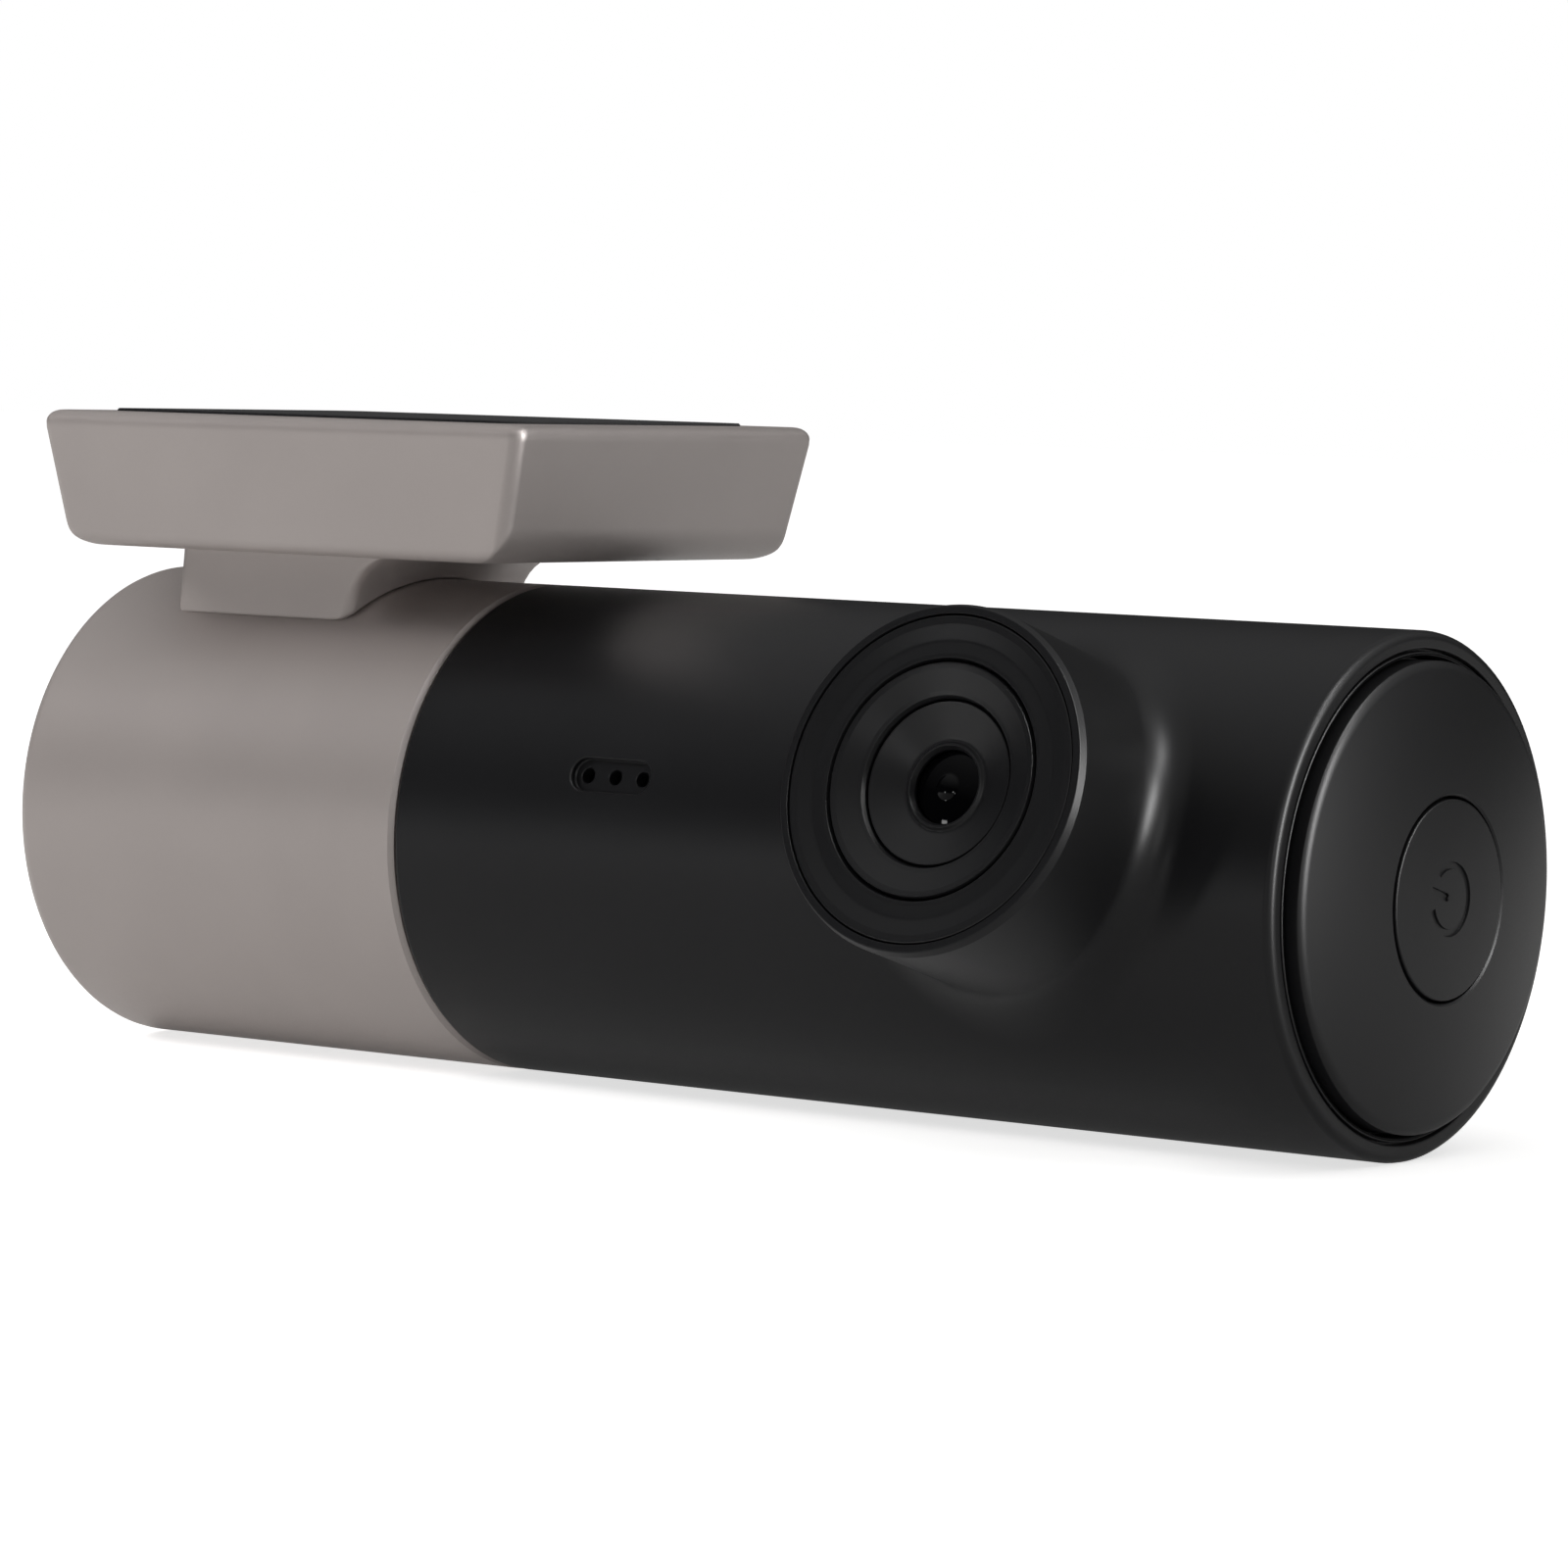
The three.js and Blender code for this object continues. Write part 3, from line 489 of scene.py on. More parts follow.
PHI_STOPS = [-159, -125, -106, -66, -6.25, 9.75, 66, 159, 165.52, 175.22, 184.78, 194.48, 201]
PHI_COUNTS = [14, 12, 16, 30, 12, 28, 38, 4, 8, 8, 8, 4]
X_STOPS = [16.8, 27.9, 31.7, 32.5, 35.5, 38.5, 41.5, 44.5, 47.5, 52.7, 56.7, 60.7, 64.7, 68.7, 72.7, 83.9]
X_COUNTS = [11, 9, 2, 7, 6, 6, 6, 6, 6, 8, 8, 8, 8, 8, 12]

# The windows that the boss, the sound slot and the holes fill, in millimetres along X and degrees round it.
BOSS_WINDOW = (47.5, 83.9), (-66, 66)
SOUND_WINDOW = (27.9, 35.5), (-6.25, 9.75)
SOUND_Z = 0.55
CARD_WINDOW = (16.8, 31.7), (-125, -106)
CARD_MOUTH = 6.1, 0.9
GRILLE_X, GRILLE_PITCH, GRILLE_R = 32.5, 3, 0.7
GRILLE_PHIS = PHI_STOPS[8:12]
VENT_X, VENT_PITCH, VENT_PHIS = 52.7, 4, (159, 201)
VENT_MOUTH = 5, 0.7


def on_shell(x, angle, radius):
    """Points on a cylinder about the body's axis."""
    return np.stack(np.broadcast_arrays(x, -radius * np.cos(angle), radius * np.sin(angle)), -1)


class Window:
    """A rectangle of the shell's grid that a feature fills. Its ring of corners runs along the low side, up
    the far side, back along the high side and down the near side; `u` and `v` are where each corner is on
    that square, from -1 to 1."""

    def __init__(self, xs, phis, x_range, phi_range):
        self.columns = np.where((xs >= x_range[0] - 1e-6) & (xs <= x_range[1] + 1e-6))[0]
        self.rows = np.where((phis >= phi_range[0] - 1e-6) & (phis <= phi_range[1] + 1e-6))[0]
        x, phi = xs[self.columns], np.radians(phis[self.rows])
        across, up = len(x) - 1, len(phi) - 1
        u, v = np.linspace(-1, 1, across + 1), np.linspace(-1, 1, up + 1)
        one, side = np.ones(across), np.ones(up)
        self.x = np.concatenate([x[:-1], side * x[-1], x[:0:-1], side * x[0]])
        self.phi = np.concatenate([one * phi[0], phi[:-1], one * phi[-1], phi[:0:-1]])
        self.u = np.concatenate([u[:-1], side, u[:0:-1], -side])
        self.v = np.concatenate([-one, v[:-1], one, v[:0:-1]])
        self.across, self.up = across, up

    def ring(self, radius):
        return on_shell(self.x, self.phi, radius)

    def pill(self, half_length, radius, upright=False):
        """A slot with round ends along u, or along v if it stands upright: the two sides of the square
        across its length become the half circles."""
        u, v = (self.v, self.u) if upright else (self.u, self.v)
        straight = half_length - radius
        turn = v * math.pi / 2
        ends = np.abs(u) > 1 - 1e-9
        lengthwise = np.where(ends, u * (straight + radius * np.cos(turn)), u * straight)
        crosswise = np.where(ends, radius * np.sin(turn), v * radius)
        return (crosswise, lengthwise) if upright else (lengthwise, crosswise)

    def circle(self, radius):
        """A circle: each side of the square becomes a quarter of it."""
        quarter = math.pi / 4
        low, far = self.v < -1 + 1e-9, self.u > 1 - 1e-9
        high = self.v > 1 - 1e-9
        turn = np.where(low & ~far, -math.pi / 2 + quarter * self.u,
                        np.where(far & ~high, quarter * self.v,
                                 np.where(high, math.pi / 2 - quarter * self.u, math.pi - quarter * self.v)))
        turn = np.where(low & far, -quarter, turn)
        return radius * np.cos(turn), radius * np.sin(turn)


def front_point(x, z, radius, sink=0.0):
    """A point of the shell's front, sunk straight back by `sink`."""
    return np.stack([x, -(np.sqrt(radius ** 2 - z ** 2) - sink), z], -1)


def back_point(x, z, radius, sink=0.0):
    """A point of the shell's back, sunk straight forward by `sink`."""
    return np.stack([x, np.sqrt(radius ** 2 - z ** 2) - sink, z], -1)


def low_point(x, y, radius, sink=0.0):
    """A point of the shell's underside, sunk straight up by `sink`."""
    return np.stack([x, y, -(np.sqrt(radius ** 2 - y ** 2) - sink)], -1)


def shell_fan(window, outline, radius):
    """Rings over the shell from the window's ring to an outline on it: x and the angle are shared out
    evenly, so that every ring lies on the cylinder."""
    angle = np.arctan2(outline[:, 2], -outline[:, 1])
    angle = np.where(angle < window.phi.min() - 1, angle + 2 * math.pi, angle)
    shares = np.array([0, 0.3, 0.6, 0.85, 1])[:, None]
    x = window.x * (1 - shares) + outline[:, 0] * shares
    return on_shell(x, window.phi * (1 - shares) + angle * shares, radius)


def through_hole(window_out, window_in, outline_at, edge=0.1):
    """A hole straight through the shell with a small chamfer at both ends. outline_at(grow, radius, sink)
    gives its outline on a cylinder of that radius."""
    outside = outline_at(edge, BODY_R, 0)
    inside = outline_at(edge, BORE_R, 0)
    walls = [outline_at(0, BODY_R, edge), outline_at(0, BORE_R, -edge)]
    return np.concatenate([shell_fan(window_out, outside, BODY_R), np.stack(walls),
                           shell_fan(window_in, inside, BORE_R)[::-1]])


def boss_grid(window_out, window_in, foot, rim):
    """The lens boss. From the window the rings run over the body to the foot, up the foot's hollow curve,
    where the height is the body's own plus foot times (1 - sin a) at radius boss + foot times (1 - cos a),
    up the straight side, over the rim's steep chamfer, and down the stepped bore to the inner wall."""
    turn = np.arctan2(BODY_R * np.sin(window_out.phi), window_out.x - LENS_X)

    def ring(radius, height):
        return np.stack([LENS_X + radius * np.cos(turn), -(height + 0 * turn), radius * np.sin(turn)], -1)

    def body_height(radius, shell):
        return np.sqrt(shell ** 2 - (radius * np.sin(turn)) ** 2)

    foot_r = BOSS_R + foot
    shares = np.linspace(0, 1, 9)[:-1]
    angle = np.arcsin(foot_r * np.sin(turn) / BODY_R)
    x = np.outer(1 - shares, window_out.x) + np.outer(shares, LENS_X + foot_r * np.cos(turn))
    rings = list(on_shell(x, np.outer(1 - shares, window_out.phi) + np.outer(shares, angle), BODY_R))
    for a in np.linspace(math.pi / 2, 0, 15):
        radius = BOSS_R + foot * (1 - math.cos(a))
        rings.append(ring(radius, body_height(radius, BODY_R) + foot * (1 - math.sin(a))))
    top = LENS_FACE - rim
    start = body_height(BOSS_R, BODY_R) + foot
    for share in np.linspace(0, 1, 8)[1:]:
        rings.append(ring(BOSS_R, start * (1 - share) + (top - 0.1) * share))
    lip = rounded([(BOSS_R, top - 0.1, 0), (BOSS_R, top, 0.15),
                   (BOSS_R - 0.4 * rim, LENS_FACE, 0.12), (11.3, LENS_FACE, 0.04), (11.3, 24.6, 0.05),
                   (LENS_BORE_R, 24.6, 0.1), (LENS_BORE_R, 24, 0)], steps=5, hold=0.02)
    rings += [ring(radius, height) for radius, height in lip[1:]]
    bore = ring(LENS_BORE_R, body_height(LENS_BORE_R, BORE_R))
    rings += list(between(rings[-1], bore, [0.5]))
    inner = shell_fan(window_in, bore, BORE_R)[::-1]
    return np.concatenate([np.stack(rings), inner])


def sound_slot(window_out, window_in, centre_z):
    """The microphone slot: a shallow round-ended recess with three holes in its flat floor. The floor is
    cut into three cells, and each cell is a fan from its own outline to its hole."""
    x0, half, radius, floor = 31.7, 3.55, 1.2, -(BODY_R - 0.6)
    pitch, hole_r, edge = 2.43, 0.55, 0.1

    def outline(grow):
        along, across = window_out.pill(half + grow, radius + grow)
        return x0 + along, centre_z + across

    def at_floor(x, z, lift=0.0):
        return np.stack([x, floor - lift + 0 * x, z], -1)

    def on_bore(x, z, sink=0.0):
        return front_point(x, z, BORE_R, sink)

    mouth = front_point(*outline(edge), BODY_R)
    wall = [front_point(*outline(0), BODY_R, edge), at_floor(*outline(0), edge), at_floor(*outline(-edge))]
    grids = [np.concatenate([shell_fan(window_out, mouth, BODY_R), np.stack(wall)])]
    grids.append(shell_fan(window_in, on_bore(*outline(-edge)), BORE_R))
    x, z = outline(-edge)
    across, up = window_out.across, window_out.up
    low, high = np.arange(across + 1), across + up + np.arange(across + 1)[::-1]
    cuts = [0, 5, across - 5, across]
    for i, (a, b) in enumerate(zip(cuts, cuts[1:])):
        def border(k):
            if k == 0:
                back = np.concatenate([np.arange(2 * across + up, 2 * (across + up)), [0]])
                return x[back][::-1], z[back][::-1]
            if k == across:
                return x[across:across + up + 1], z[across:across + up + 1]
            share = np.linspace(0, 1, up + 1)
            return tuple(line[low[k]] * (1 - share) + line[high[k]] * share for line in (x, z))

        near, far = border(a), border(b)
        cell_x, cell_z = (np.concatenate([line[low[a:b]], far[j][:-1], line[high[a + 1:b + 1]][::-1],
                                          near[j][1:][::-1]]) for j, line in enumerate((x, z)))
        middle = x0 + (i - 1) * pitch
        turn = np.arctan2(cell_z - centre_z, cell_x - middle)

        def hole(grow):
            return middle + (hole_r + grow) * np.cos(turn), centre_z + (hole_r + grow) * np.sin(turn)

        floor_cell, bore_cell = at_floor(cell_x, cell_z), on_bore(cell_x, cell_z)
        lip = hole(0.06)
        rings = [*between(floor_cell, at_floor(*lip), [0, 0.5, 1]), at_floor(*hole(0), -0.06)]
        rings += [on_bore(*hole(0), -0.06), on_bore(*lip), bore_cell]
        grids.append(np.stack(rings))
    return grids


def build_housing():
    """The camera's tubular housing."""
    sizes = bpy.context.scene.dash_camera
    phis = spaced(PHI_STOPS, PHI_COUNTS)
    inner_x = spaced([15.0, *X_STOPS, 86.5], [2, *X_COUNTS, 3])
    outer_x = spaced([13.2, *X_STOPS, 86.7], [4, *X_COUNTS, 3])
    round_phi = np.radians(phis[:-1])
    grids = []
    keep_outer = np.ones((len(outer_x) - 1, len(phis) - 1), bool)
    keep_inner = np.ones((len(inner_x) - 1, len(phis) - 1), bool)

    def windows(x_range, phi_range):
        pair = Window(outer_x, phis, x_range, phi_range), Window(inner_x, phis, x_range, phi_range)
        for window, keep in zip(pair, (keep_outer, keep_inner)):
            keep[window.columns[0]:window.columns[-1], window.rows[0]:window.rows[-1]] = False
        return pair

    def drill(x_range, phi_range, point_at, middle, outline):
        pair = windows(x_range, phi_range)

        def outline_at(grow, radius, sink):
            along, across = outline(pair[0], grow)
            return point_at(middle[0] + along, middle[1] - across, radius, sink)

        grids.append(through_hole(*pair, outline_at))

    def card_mouth(window, grow):
        return window.pill(CARD_MOUTH[0] + grow, CARD_MOUTH[1] + grow)

    def grille_hole(window, grow):
        return window.circle(GRILLE_R + grow)

    def vent(window, grow):
        return window.pill(VENT_MOUTH[0] + grow, VENT_MOUTH[1] + grow, upright=True)

    grids.append(boss_grid(*windows(*BOSS_WINDOW), sizes.boss_foot / MM, sizes.boss_rim / MM))
    grids += sound_slot(*windows(*SOUND_WINDOW), SOUND_Z)
    card_middle = (CARD[0][0] + CARD[1][0]) / 2, (CARD[0][1] + CARD[1][1]) / 2
    drill(*CARD_WINDOW, low_point, card_middle, card_mouth)
    for column in range(5):
        x = GRILLE_X + GRILLE_PITCH * column
        for row in range(3):
            middle = x + GRILLE_PITCH / 2, GRILLE_PITCH * (1 - row)
            drill((x, x + GRILLE_PITCH), GRILLE_PHIS[row:row + 2], back_point, middle, grille_hole)
    for i in range(5):
        x = VENT_X + VENT_PITCH * i
        drill((x, x + VENT_PITCH), VENT_PHIS, back_point, (x + VENT_PITCH / 2, 0), vent)

    for xs, keep, radius in ((outer_x, keep_outer, BODY_R), (inner_x, keep_inner, BORE_R)):
        points = on_shell(xs[:, None], np.radians(phis)[None], radius)
        grids.append((points, False, keep))
    seam_end = rounded([(BODY_R, 13.2, 0), (BODY_R, SEAM + 0.3, 0.3), (15.8, SEAM + 0.3, 0.15),
                        (15.8, 8.5, 0.3), (14.2, 8.5, 0.2), (14.2, 14.5, 0.1), (BORE_R, 14.5, 0.15),
                        (BORE_R, 15.0, 0)])
    button_end = rounded([(BODY_R, 86.7, 0), (BODY_R, RIM, 0.6), (16.75, RIM, 0.12), (16.75, RIM - 0.7, 0.04),
                          (16.56, RIM - 0.7, 0.04), (16.56, RIM - 0.04, 0.12), (16.28, RIM - 0.04, 0.12),
                          (16.28, 86.65, 0.03), (BORE_R, 86.55, 0.03), (BORE_R, 86.5, 0)], hold=0.06)
    grids += [about_x(seam_end, round_phi), about_x(button_end, round_phi)]
    return make_piece("main_housing_shell", grids, "camera", finish("black_satin"),
                      ["main_housing"])


# The fixed sleeve, its bracket and pad, and the charging socket.

def pill_radius(angles, half_length, half_height):
    """How far a round-ended slot's outline is from its middle in each direction: where the ray meets the
    straight side, or else the half circle."""
    cos, sin = np.abs(np.cos(angles)), np.abs(np.sin(angles))
    straight = half_length - half_height
    side = half_height / np.maximum(sin, 1e-9)
    end = straight * cos + np.sqrt(np.maximum(half_height ** 2 - (straight * sin) ** 2, 0))
    return np.where(side * cos <= straight, side, end)


def slot_rings(profile, angles, half_length, half_height):
    """Rings about the body's axis from (radius, x, share) points: share 0 is a circle of that radius, and
    share 1 the slot's outline grown by that radius."""
    rings = []
    for radius, x, share in profile:
        slot = pill_radius(angles, half_length + radius, half_height + radius) if share > 0 else 0
        size = slot if share == 1 else radius + 0 * angles
        rings.append(np.stack([x + 0 * angles, -size * np.cos(angles), size * np.sin(angles)], -1))
    return rings


def build_sleeve():
    """The fixed sleeve: a cup with a round bottom edge, a bevelled rim and the socket's slot in its end."""
    angles = full_turn(216)
    end = SLEEVE[0][0]
    mouth = 4.72, 1.88
    turn = np.linspace(0, math.pi / 2, 13)
    side = [(BODY_R, SEAM - 0.33, 0), (BODY_R, SEAM - 0.5, 0), (BODY_R, 5, 0), (BODY_R, -10, 0)]
    corner = [(BODY_R - 3.67 * (1 - math.cos(t)), end + 2.1 * (1 - math.sin(t)), 0) for t in turn]
    rings = slot_rings([(BODY_R - 0.33, SEAM, 0), *side, *corner, (12, end, 0)], angles, *mouth)
    lip = slot_rings([(0.25, end, 1), (0.07, end + 0.07, 1), (0, end + 0.25, 1), (0, end + 1.9, 1),
                      (0.1, end + 2.2, 1)], angles, *mouth)
    inside = slot_rings([(12, end + 2.2, 0), (15.9, end + 2.2, 0), (16.2, end + 2.5, 0), (16.2, 0, 0),
                         (16.2, SEAM - 0.15, 0), (16.35, SEAM, 0), (17.4, SEAM, 0), (BODY_R - 0.33, SEAM, 0)],
                        angles, *mouth)
    fan = list(between(rings[-1], lip[0], [0.33, 0.66]))
    back_fan = list(between(lip[-1], inside[0], [0.33, 0.66]))
    grids = [np.stack([*rings, *fan, *lip, *back_fan, *inside])]
    for centre in (30, 150, 270):
        y, z = 13.2 * math.cos(math.radians(centre)), 13.2 * math.sin(math.radians(centre))
        grids.append(screw_post(2.2, 1.1, end + 2.15, -4.3, 9.5, y, z))
    for side_y in (-6.6, 6.6):
        grids.append(screw_post(1.9, 1.0, end + 2.15, -17.9, 3.5, side_y, -6))
    return make_piece("mount_sleeve_shell", grids, "mount", finish("grey_satin"),
                      ["mount_sleeve"], turned=False)


def screw_post(radius, bore, low, high, depth, y, z):
    """A post along X with a blind screw hole in its top."""
    profile = rounded([(0, low, 0), (radius, low, 0), (radius, high, 0.2), (bore, high, 0.1),
                       (bore, high - depth, 0.1), (0, high - depth, 0)], steps=3)
    return about_x(profile, full_turn(36)) + np.array([0, y, z])


class RoundedRectangle:
    """Corners round a rounded rectangle. `ex` and `ey` say where each is along the straight sides, from -1
    to 1, and `cx` and `cy` which way the outline faces there; `ring` then gives any size of it."""

    def __init__(self, along_x=36, along_y=28, corner=8):
        quarter = np.linspace(0, math.pi / 2, corner + 1)[1:-1]
        run_x, run_y = np.linspace(-1, 1, along_x + 1), np.linspace(-1, 1, along_y + 1)
        ex, ey, turn = [], [], []
        for side in range(4):
            run = run_y if side % 2 == 0 else run_x
            sign = 1 if side in (0, 3) else -1
            fixed = 1 if side in (0, 1) else -1
            ex.append(np.full(len(run), fixed) if side % 2 == 0 else run * sign)
            ey.append(run * sign if side % 2 == 0 else np.full(len(run), fixed))
            turn.append(np.full(len(run), side * math.pi / 2))
            corner_signs = [(1, 1), (-1, 1), (-1, -1), (1, -1)][side]
            ex.append(np.full(len(quarter), corner_signs[0]))
            ey.append(np.full(len(quarter), corner_signs[1]))
            turn.append(side * math.pi / 2 + quarter)
        self.ex, self.ey = np.concatenate(ex).astype(float), np.concatenate(ey).astype(float)
        self.cx, self.cy = np.cos(np.concatenate(turn)), np.sin(np.concatenate(turn))

    def ring(self, half_x, half_y, radius, z, middle_x=0.0):
        """The outline with these half sizes and corner radius, at height z above the body's axis."""
        x = middle_x + self.ex * (half_x - radius) + radius * self.cx
        y = self.ey * (half_y - radius) + radius * self.cy
        return np.stack([x, y, z + 0 * x - AXIS_Z], -1)


def neck_right(z, top, foot):
    """How far right the neck reaches at each height: a quarter of a hollow curve under the plate, and a
    rounded corner at the foot. Both are quadratic curves, solved for the height."""
    start = foot + 1.2
    high = 1 - np.sqrt(np.clip((z - top) / (start - top), 0, 1))
    hollow = (1 - high) ** 2 * 1.3 + 2 * high * (1 - high) * 2.1 + high ** 2 * 6.9
    low = np.sqrt(np.clip((z - foot) / 1.2, 0, 1))
    corner = (1 - low) ** 2 * 0.1 + 2 * low * (1 - low) * 1.1 + low ** 2 * 1.3
    return np.where(z > start, hollow, corner)


def build_bracket():
    """The bracket: a plate with leaning sides and rounded edges, whose underside runs into a neck that
    hugs the sleeve. One family of rings goes from the middle of the pad's recess to the saddle."""
    sizes = bpy.context.scene.dash_camera
    outline = RoundedRectangle()
    half_x, half_y, top = BRACKET[1]
    bottom = -10.23
    edge = sizes.plate_rim / MM
    lean_x, lean_y = 2.3 / (top - bottom), 0.9 / (top - bottom)
    end_round, side_round = 2.4, 1.0
    recess_x, recess_y, recess_r, chamfer = 20, 14.2, 2.2, 0.12

    def leaning(inset_x, inset_y, z):
        ring = outline.ring(half_x - inset_x, half_y - inset_y, 1.0, 0)
        ring[:, 0] -= outline.ex * lean_x * (top - z)
        ring[:, 1] -= outline.ey * lean_y * (top - z)
        ring[:, 2] = z - AXIS_Z
        return ring

    rings = [outline.ring(s * recess_x, s * recess_y, s * recess_r, PAD[0][2]) for s in (0, 0.5, 0.97, 1)]
    rings.append(outline.ring(recess_x, recess_y, recess_r, top - chamfer))
    rings.append(outline.ring(recess_x + chamfer, recess_y + chamfer, recess_r, top))
    rings += [outline.ring(half_x - edge - 0.1, half_y - edge - 0.1, 1.2, top)]
    for turn in np.linspace(0, math.pi / 2, 8):
        inset, drop = edge * (1 - math.sin(turn)), edge * (1 - math.cos(turn))
        size = half_x - inset - lean_x * drop, half_y - inset - lean_y * drop
        rings.append(outline.ring(*size, 1.1, top - drop))
    corner_low = side_round + (end_round - side_round) * outline.cx ** 2
    for share in (0.03, 0.5, 0.97, 1):
        rings.append(leaning(0, 0, (top - edge) * (1 - share) + (bottom + corner_low) * share))
    for turn in np.linspace(0, math.pi / 2, 10)[1:]:
        inset, rise = 1 - math.cos(turn), 1 - math.sin(turn)
        rings.append(leaning(end_round * inset, side_round * inset, bottom + corner_low * rise))
    neck = neck_rings(outline, bottom)
    rings += list(between(rings[-1], neck[0], [0.3, 0.65, 0.95]))
    rings += neck
    return make_piece("mount_bracket_body", [np.stack(rings)], "mount",
                      finish("grey_satin"), ["mount_bracket"], turned=False)


def neck_rings(outline, bottom):
    """Rings down the neck from the plate's underside to the arched foot, and in over the saddle."""
    left, half_y, corner, saddle = -15.6, 10.1, 0.8, BODY_R + 0.06
    foot = AXIS_Z + math.sqrt(BODY_R ** 2 - half_y ** 2)
    y = outline.ey * (half_y - corner) + corner * outline.cy

    def at(z, inset=0.0):
        right = neck_right(z, bottom, foot)
        share = (outline.ex + 1) / 2
        near = left - 0.4 * np.clip((bottom - z) / 5, 0, 1)
        x = (near + corner) * (1 - share) + (right - corner) * share + corner * outline.cx
        return np.stack([x - inset * outline.cx, y - inset * outline.cy, z - AXIS_Z], -1)

    arch = AXIS_Z + np.sqrt(saddle ** 2 - y ** 2)
    rings = []
    for share in (0, 0.01, 0.03, 0.06, 0.1, 0.16, 0.24, 0.34, 0.46, 0.58, 0.7, 0.8, 0.88, 0.94):
        rings.append(at(bottom + (arch - bottom) * share))
    rings.append(at(arch + 0.22))
    rings += [at(arch + 0.06, 0.08), at(arch, 0.25)]
    last = rings[-1]
    for share in (0.97, 0.75, 0.5, 0.25, 0):
        ring = last.copy()
        middle = (last[:, 0].min() + last[:, 0].max()) / 2
        ring[:, 0] = middle + (last[:, 0] - middle) * share
        ring[:, 1] = last[:, 1] * share
        ring[:, 2] = np.sqrt(saddle ** 2 - ring[:, 1] ** 2)
        rings.append(ring)
    return rings


def build_pad():
    """The adhesive pad: a die-cut slab of foam with slightly bulging sides."""
    outline = RoundedRectangle()
    (x, y, top), low = PAD[1], PAD[0][2]
    rings = [outline.ring(x * s, y * s, 2 * s, low) for s in (0, 0.6, 0.98)]
    rings += [outline.ring(x - inset, y - inset, 2, z) for inset, z in
              ((0.1, low), (0, low + 0.15), (0, top - 0.12), (0.08, top))]
    rings += [outline.ring(x * s, y * s, 2 * s, top) for s in (0.98, 0.6, 0)]
    return make_piece("adhesive_pad_foam", [np.stack(rings)], "mount", finish("foam_tape"),
                      ["adhesive_pad"], turned=False, crease=60)


def build_usb():
    """The charging socket: a drawn steel shell with a rolled lip, and the tongue with its contacts."""
    angles = full_turn(96)
    face = USB[0][0]
    back = USB[1][0]
    profile = [(0.0, back, 1), (0.0, face + 0.1, 1), (-0.08, face, 1), (-0.22, face, 1),
               (-0.3, face + 0.1, 1), (-0.3, back - 0.8, 1)]
    rings = slot_rings(profile, angles, 4.47, 1.63)
    closed = [ring * [1, 0, 0] for ring in (rings[0], rings[-1])]
    grids = [np.stack([closed[0], *rings, closed[1]])]
    grids.append(slab_grid((face + 1.2, -3.3, -0.35), (back - 0.7, 3.3, 0.35), 0.12))
    for side in (-1, 1):
        for i in range(12):
            y = (i - 5.5) * 0.5
            z = sorted((side * 0.34, side * 0.38))
            grids.append(slab_grid((face + 1.5, y - 0.13, z[0]), (face + 4.5, y + 0.13, z[1]), 0.01, 2))
    return make_piece("usb_c_socket_shell", grids, "mount", finish("steel"), ["usb_c_socket"],
                      turned=False)


def slab_grid(low, high, radius, corner=4):
    """A slab along X with rounded long edges: rings of a rounded rectangle, closed at both ends."""
    outline = RoundedRectangle(4, 4, corner)
    low, high = np.array(low, float), np.array(high, float)
    middle, half = (low + high) / 2, (high - low) / 2

    def ring(share, x):
        y = outline.ex * (half[1] - radius) + radius * outline.cx
        z = outline.ey * (half[2] - radius) + radius * outline.cy
        return np.stack([x + 0 * y, middle[1] + y * share, middle[2] + z * share], -1)

    inner = 1 - radius / half[2] * 0.5
    return np.stack([ring(0, low[0]), ring(inner, low[0]), ring(1, low[0] + radius * 0.6),
                     ring(1, high[0] - radius * 0.6), ring(inner, high[0]), ring(0, high[0])])


# The lens and its rings.

